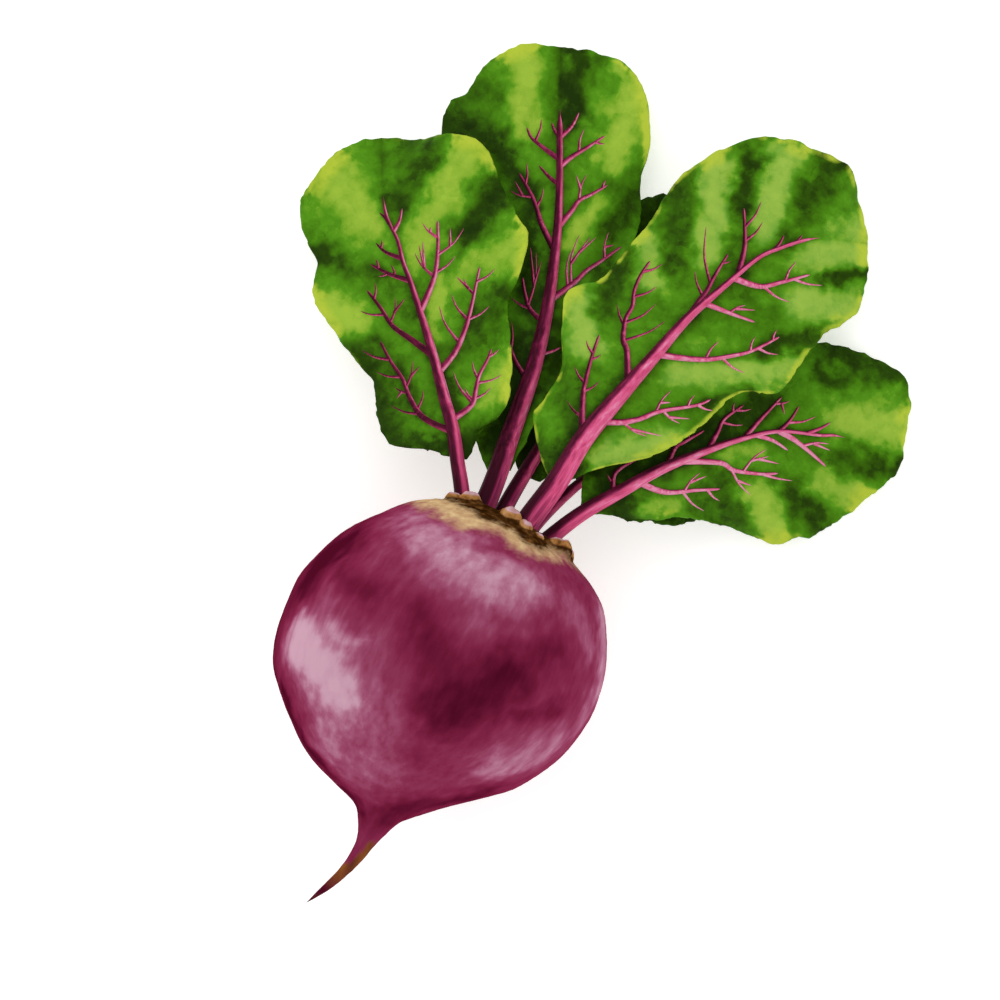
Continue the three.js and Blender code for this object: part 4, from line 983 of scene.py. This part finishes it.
def blade_grid(leaf, lines):
    """The top of a blade as a fine grid, waved and quilted, with what its finish needs at each point."""
    rows, columns = GRIDS[leaf["name"]]
    bm = bmesh.new()
    bmesh.ops.create_grid(bm, x_segments=2 * columns, y_segments=rows, size=1)
    flat = places_of(bm)
    along = (flat[:, 1] + 1) / 2
    across = np.abs(flat[:, 0])
    left = flat[:, 0] < 0
    leaned = along - FOLD_LAG * np.sin(np.pi * along)
    middle = on_line(lines["rib"], lines["start"] + (1 - lines["start"]) * leaned)
    edge = np.where(left[:, None], on_line(lines["left"], along), on_line(lines["right"], along))
    width = np.linalg.norm((edge - middle)[:, :2], axis=1)
    around = np.where(left, along, 2 - along)
    seed = 10.0 * int(leaf["name"])

    # the very edge is a little uneven
    round_edge = np.column_stack([around * EDGE_LENGTH, 0 * around, 0 * around])
    ragged = rough(round_edge, EDGE_UNEVEN_SIZE, seed, 3)
    reach = across * (1 + across ** 6 * ragged * EDGE_UNEVEN / np.maximum(width, NARROW_BLADE))
    places = middle + (edge - middle) * reach[:, None]

    away, share = nearest(lines["rib"][:, :2], places[:, :2])
    rib_height = np.interp(share, np.linspace(0, 1, LINE_SAMPLES + 1), lines["rib"][:, 2])
    closed = smoothstep(share, leaf["rib_end"], leaf["rib_end"] + GROOVE_RUNOUT)
    radius = rib_radius(leaf, share) * (1 - closed)
    folded = fold(leaf, around)
    roomy = np.minimum(1, width / RUFFLED_WIDTH)
    height = rib_height + (edge[:, 2] - rib_height) * across - RIB_STANDS_OUT * radius
    height += RUFFLE * folded * across ** 2 * roomy
    height += ARCH * np.sin(np.pi * across) * np.minimum(1, width / ARCHED_WIDTH)

    # the blade swells between its veins, its edge is frilled and all of it is slightly crinkled
    vein_away = np.full(len(places), np.inf)
    for route, _ in leaf["veins"]:
        line = smooth_line(route, True, ROUTE_SAMPLES)
        vein_away = np.minimum(vein_away, nearest(line, places[:, :2])[0])
    gap = np.minimum(vein_away, np.maximum(away - radius, 0))
    height += QUILT * (1 - fading(gap, QUILT_REACH)) * (1 - across ** 4)
    height += FRILL * rough(round_edge, FRILL_SIZE, seed + 5, 2) * across ** 4 * roomy
    height += CRINKLE * rough(places, CRINKLE_SIZE, seed + 2, 3) * smoothstep(gap, 0, CRINKLE_REACH)

    # evened out in the grid's own order
    order = np.lexsort((flat[:, 0].round(6), flat[:, 1].round(6)))
    grid = calmed(height[order].reshape(rows + 1, 2 * columns + 1), CALM_ROUNDS)
    height[order] = grid.reshape(-1)
    places[:, 2] = np.maximum(height, FLOOR_GAP)
    put(bm, places)

    # painted light and shade on the blade: the patches, lighter lifted folds and darker dipped ones, and
    # painted shade beside the rib and veins
    strayed = wandered(places, PATCH_WANDER, PATCH_WANDER_SIZE, seed)
    shade = DEEP_SHADE
    if leaf["patches"]:
        shade = patched(strayed[:, :2], leaf["patches"], LEAF_PATCH_SHARPNESS)
    shade = shade + FOLD_SHADE * folded * across ** 1.5
    shade = shade - RIB_SHADE * np.exp(-((away - radius) / SHADE_REACH).clip(0))
    shade = shade - VEIN_SHADE * fading(vein_away, SHADE_REACH)
    paint(bm, "shade", shade)
    # the painted highlights are made a milkier green
    paint(bm, "bloom", leaf.get("bloom", 0.0) * smoothstep(shade, *MILKY_HIGHLIGHT_SHADES))
    # painted highlights are yellow near the edge, less so in its dips, and a thin yellow rim comes and goes,
    # strongest where a painted highlight reaches it
    lifted = np.maximum(shade, 0) * (0.4 + 0.6 * smoothstep(folded, -0.2, 0.6))
    inward = (1 - across) * width
    yellowed = smoothstep(-inward, -YELLOW_REACH, 0) * smoothstep(lifted, *YELLOW_SHADES)
    rimmed = leaf.get("rimmed", 0.0)
    sunny = rimmed + (SUNNY_RIM - rimmed) * smoothstep(shade, *SUNNY_SHADES)
    coming = rough(places, RIM_GAP_SIZE, seed + 9, 3) + smoothstep(shade, 0.1, 0.5)
    thin = sunny * smoothstep(-inward, *RIM_WIDTH) * smoothstep(coming, *RIM_GAPS)
    paint(bm, "rim", np.maximum(yellowed, thin * (DEEP_SHADE < shade)))
    paint(bm, "blush", fading(np.minimum(vein_away, away - radius).clip(0), BLUSH_REACH))
    return bm


def build_blade(leaf, lines, finishes):
    bm = blade_grid(leaf, lines)
    surface = BVHTree.FromBMesh(bm)
    bmesh.ops.remove_doubles(bm, verts=bm.verts, dist=0.01)
    blade = finished(bm, "leaf_blade_" + leaf["name"], finishes, "blade_" + leaf["name"])
    wall = blade.modifiers.new("thickness", "SOLIDIFY")
    wall.thickness = BLADE_THICKNESS * MM
    wall.offset = -1
    wall.material_offset = 1
    return surface


def wrapped(bm, line, widths, rise, depth, sides, values):
    """A tube wrapped round a line, its ends drawn to points. rise and depth are how far it stands above
    and below the line; values gives what the finish needs, for each point's turn and place."""
    stations = len(line)
    made = bmesh.ops.create_grid(bm, x_segments=sides, y_segments=stations - 1, size=0.5)["verts"]
    run = np.gradient(line, axis=0)
    run /= np.linalg.norm(run, axis=1)[:, None]
    side = np.cross(run, [0, 0, 1.0])
    side /= np.linalg.norm(side, axis=1)[:, None]
    up = np.cross(side, run)
    for vert in made:
        k = round((vert.co.y + 0.5) * (stations - 1))
        turn = 2 * math.pi * (vert.co.x + 0.5)
        lift = math.sin(turn) * (rise[k] if math.sin(turn) > 0 else depth[k])
        outward = side[k] * math.cos(turn) + up[k] * math.sin(turn)
        ridge = 1 + values["ridges"] * math.cos(RIDGE_COUNT * turn + 0.7)
        vert.co = line[k] + side[k] * (math.cos(turn) * widths[k] * ridge) + up[k] * (lift * ridge)
        for name, layer in values["layers"].items():
            vert[layer] = values[name](k, turn, outward)
        vert[values["grain"]] = (widths[k] * math.cos(turn) * MM, widths[k] * math.sin(turn) * MM,
                                 GRAIN_STRETCH * (line[k] @ run[k]) * MM)


def stalk_values(bm, tone, turning, strings, ridges):
    """What the finish needs at each point of a stalk or vein: its tone along the line, how far round the
    painted lit pink begins, how many strings it has and how high its ridges are."""
    layers = {name: layer_of(bm.verts.layers.float, name) for name in ("lit", "string")}

    # painted light and shade: pink on the painted lit side, dark red on the painted shaded side
    def lit(k, turn, outward):
        sun = float(np.dot(outward, PAINTED_LIT_SIDE))
        return tone[k] + SIDE_CONTRAST * (2 * smoothstep(sun, turning - SIDE_BLEND, turning + SIDE_BLEND) - 1)

    return {
        "layers": layers,
        "grain": layer_of(bm.verts.layers.float_vector, "grain"),
        "lit": lit,
        "string": lambda k, turn, outward: math.cos(strings * turn),
        "ridges": ridges,
    }


def vein_line(route, surface):
    """A route seen from above laid on the blade, as far as the blade goes."""
    line = smooth_line(route, True, max(4, round(length_of(np.array(route, float)) / VEIN_STEP)))
    laid = []
    for x, y in line:
        top = on_top(surface, x, y)
        if top is None:
            break
        laid.append((x, y, top))
    return np.array(laid)


def add_vein(bm, route, surface, radii, tone):
    """A side vein or twig, half sunk in the blade and standing out below it."""
    line = vein_line(route, surface)
    if len(line) < 4:
        return
    share = np.linspace(0, 1, len(line))
    radius = radii[0] + (radii[1] - radii[0]) * share
    radius[-1] *= VEIN_POINT
    line[:, 2] += VEIN_LIFT * radius
    wrapped(bm, line, radius, VEIN_RISE * radius, BLADE_THICKNESS + VEIN_SINK * radius, VEIN_SIDES,
            stalk_values(bm, np.full(len(line), tone), VEIN_TURNING, VEIN_STRINGS, 0))


def twig_route(route, tip, older):
    """Where a twig leaves its vein, or an older twig whose tip is near, then a bend, and its tip."""
    line = smooth_line(route, True, TWIG_SAMPLES)
    near = [twig for twig in older if math.dist(twig[-1], tip) < FORK_REACH]
    if near:
        start = on_line(np.array(near[0], float), [FORK_FROM])[0]
        return [start, start + 0.5 * (np.array(tip, float) - start), tip]
    away, share = nearest(line, np.array([tip], float))
    start_share = max(0.08, float(share[0]) - TWIG_LEAN * float(away[0]) / length_of(line))
    start = on_line(line, [start_share])[0]
    ahead = on_line(line, [min(1, start_share + 0.04)])[0] - start
    ahead /= max(np.linalg.norm(ahead), 1e-6)
    reach = np.array(tip, float) - start
    side = reach - ahead * (reach @ ahead)
    bend = start + TWIG_BEND * reach + TWIG_BOW * side
    return [start, bend, tip]


def build_stalk(leaf, lines, surface, material):
    """A leaf's stalk and rib in one, with its side veins and their twigs laid on the blade."""
    bm = bmesh.new()
    tone, turning = STALK_TONES[leaf["name"]]
    rib = lines["rib"]
    end = min(leaf["rib_end"] + RIB_RUNOUT, RIB_LIMIT)
    count = round(length_of(rib) * end / STALK_STEP)
    share = np.linspace(0, end, count + 1)
    line = on_line(rib, share)
    radius = rib_radius(leaf, share)
    radius *= 1 + FLARE * np.exp(-share * length_of(rib) / FLARE_REACH)
    radius *= 1 - RIB_POINT * smoothstep(share, leaf["rib_end"] - RIB_POINT_FROM, end)
    below = radius + BELOW * smoothstep(share, lines["start"], lines["start"] + BELOW_EASE)
    darker = FOOT_SHADE * fading(share * length_of(rib), FOOT_REACH)
    wrapped(bm, line, radius, radius, below, STALK_SIDES,
            stalk_values(bm, tone - darker, turning, STALK_STRINGS, STALK_RIDGES))
    for route, tips in leaf["veins"]:
        where = nearest(rib[:, :2], np.array([route[0]], float))[1]
        foot = on_line(rib[:, :2], where)[0]
        toward = np.array(route[1], float) - foot
        heading = on_line(rib[:, :2], [min(1, where[0] + 0.02)])[0] - foot
        right_side = heading[0] * toward[1] - heading[1] * toward[0] < 0
        shade = tone + (VEIN_TONES[1] if right_side else VEIN_TONES[0])
        whole = [tuple(foot), *route[1:]]
        thick = min(1.0, VEIN_GROWTH[0] + VEIN_GROWTH[1] * length_of(np.array(whole, float)))
        add_vein(bm, whole, surface, (VEIN_RADIUS[0] * thick, VEIN_RADIUS[1] * thick), shade)
        twigs = []
        for tip in tips:
            twigs.append(twig_route(whole, tip, twigs))
            add_vein(bm, twigs[-1], surface, TWIG_RADIUS, shade + TWIG_TONE)
    bmesh.ops.remove_doubles(bm, verts=bm.verts, dist=1e-4)
    bmesh.ops.holes_fill(bm, edges=bm.edges, sides=2 * STALK_SIDES)
    bmesh.ops.recalc_face_normals(bm, faces=bm.faces)
    finished(bm, "leaf_stalk_" + leaf["name"], [material], "stalk_" + leaf["name"])


# ---- The beetroot ----

build_root(beet_skin())
leaf_finishes = [leaf_skin("beet_leaf_upper_skin", False), leaf_skin("beet_leaf_underside", True)]
stalk_finish = stalk_skin()
for leaf in LEAVES:
    lines = leaf_lines(leaf)
    surface = build_blade(leaf, lines, leaf_finishes)
    build_stalk(leaf, lines, surface, stalk_finish)

# ---- Studio ----

bm = bmesh.new()
bmesh.ops.create_grid(bm, x_segments=1, y_segments=1, size=FLOOR_SIZE / 2)
floor_mesh = bpy.data.meshes.new("studio_floor")
bm.to_mesh(floor_mesh)
bm.free()
floor_mesh.materials.append(studio_paper())
floor = bpy.data.objects.new("studio_floor", floor_mesh)
floor.location = (0, 0, -FLOOR_DROP)
bpy.context.scene.collection.objects.link(floor)

world = bpy.data.worlds.new("studio_daylight")
bpy.context.scene.world = world
world.use_nodes = True
sky = world.node_tree.nodes["Background"]
sky.inputs["Color"].default_value = linear("#FFFFFF")
direction = add(world, "TexCoord").outputs["Generated"]
height = add(world, "SeparateXYZ", {0: direction}).outputs["Z"]
glow = add(world, "MapRange", {"Value": height, "To Min": DAYLIGHT[0], "To Max": DAYLIGHT[1]})
world.node_tree.links.new(glow.outputs["Result"], sky.inputs["Strength"])

for name, place, size, power in SOFTBOXES:
    light = bpy.data.lights.new(name, "AREA")
    light.size = size
    light.energy = power
    lamp = bpy.data.objects.new(name, light)
    lamp.location = place
    lamp.rotation_euler = (Vector(SOFTBOX_AIM) - Vector(place)).to_track_quat("-Z", "Y").to_euler()
    bpy.context.scene.collection.objects.link(lamp)

lens = bpy.data.cameras.new("camera")
lens.lens = CAMERA_LENS
lens.sensor_width = CAMERA_SENSOR
lens.clip_end = CAMERA_REACH
camera = bpy.data.objects.new("camera", lens)
distance = VIEW_WIDTH / 2 * MM / (CAMERA_SENSOR / 2 / CAMERA_LENS)
camera.location = (VIEW_MIDDLE[0] * MM, VIEW_MIDDLE[1] * MM, distance + VIEW_HEIGHT * MM)
camera.rotation_euler = (0, 0, VIEW_TURN)
bpy.context.scene.collection.objects.link(camera)
bpy.context.scene.camera = camera

bpy.context.scene.view_settings.view_transform = "Standard"
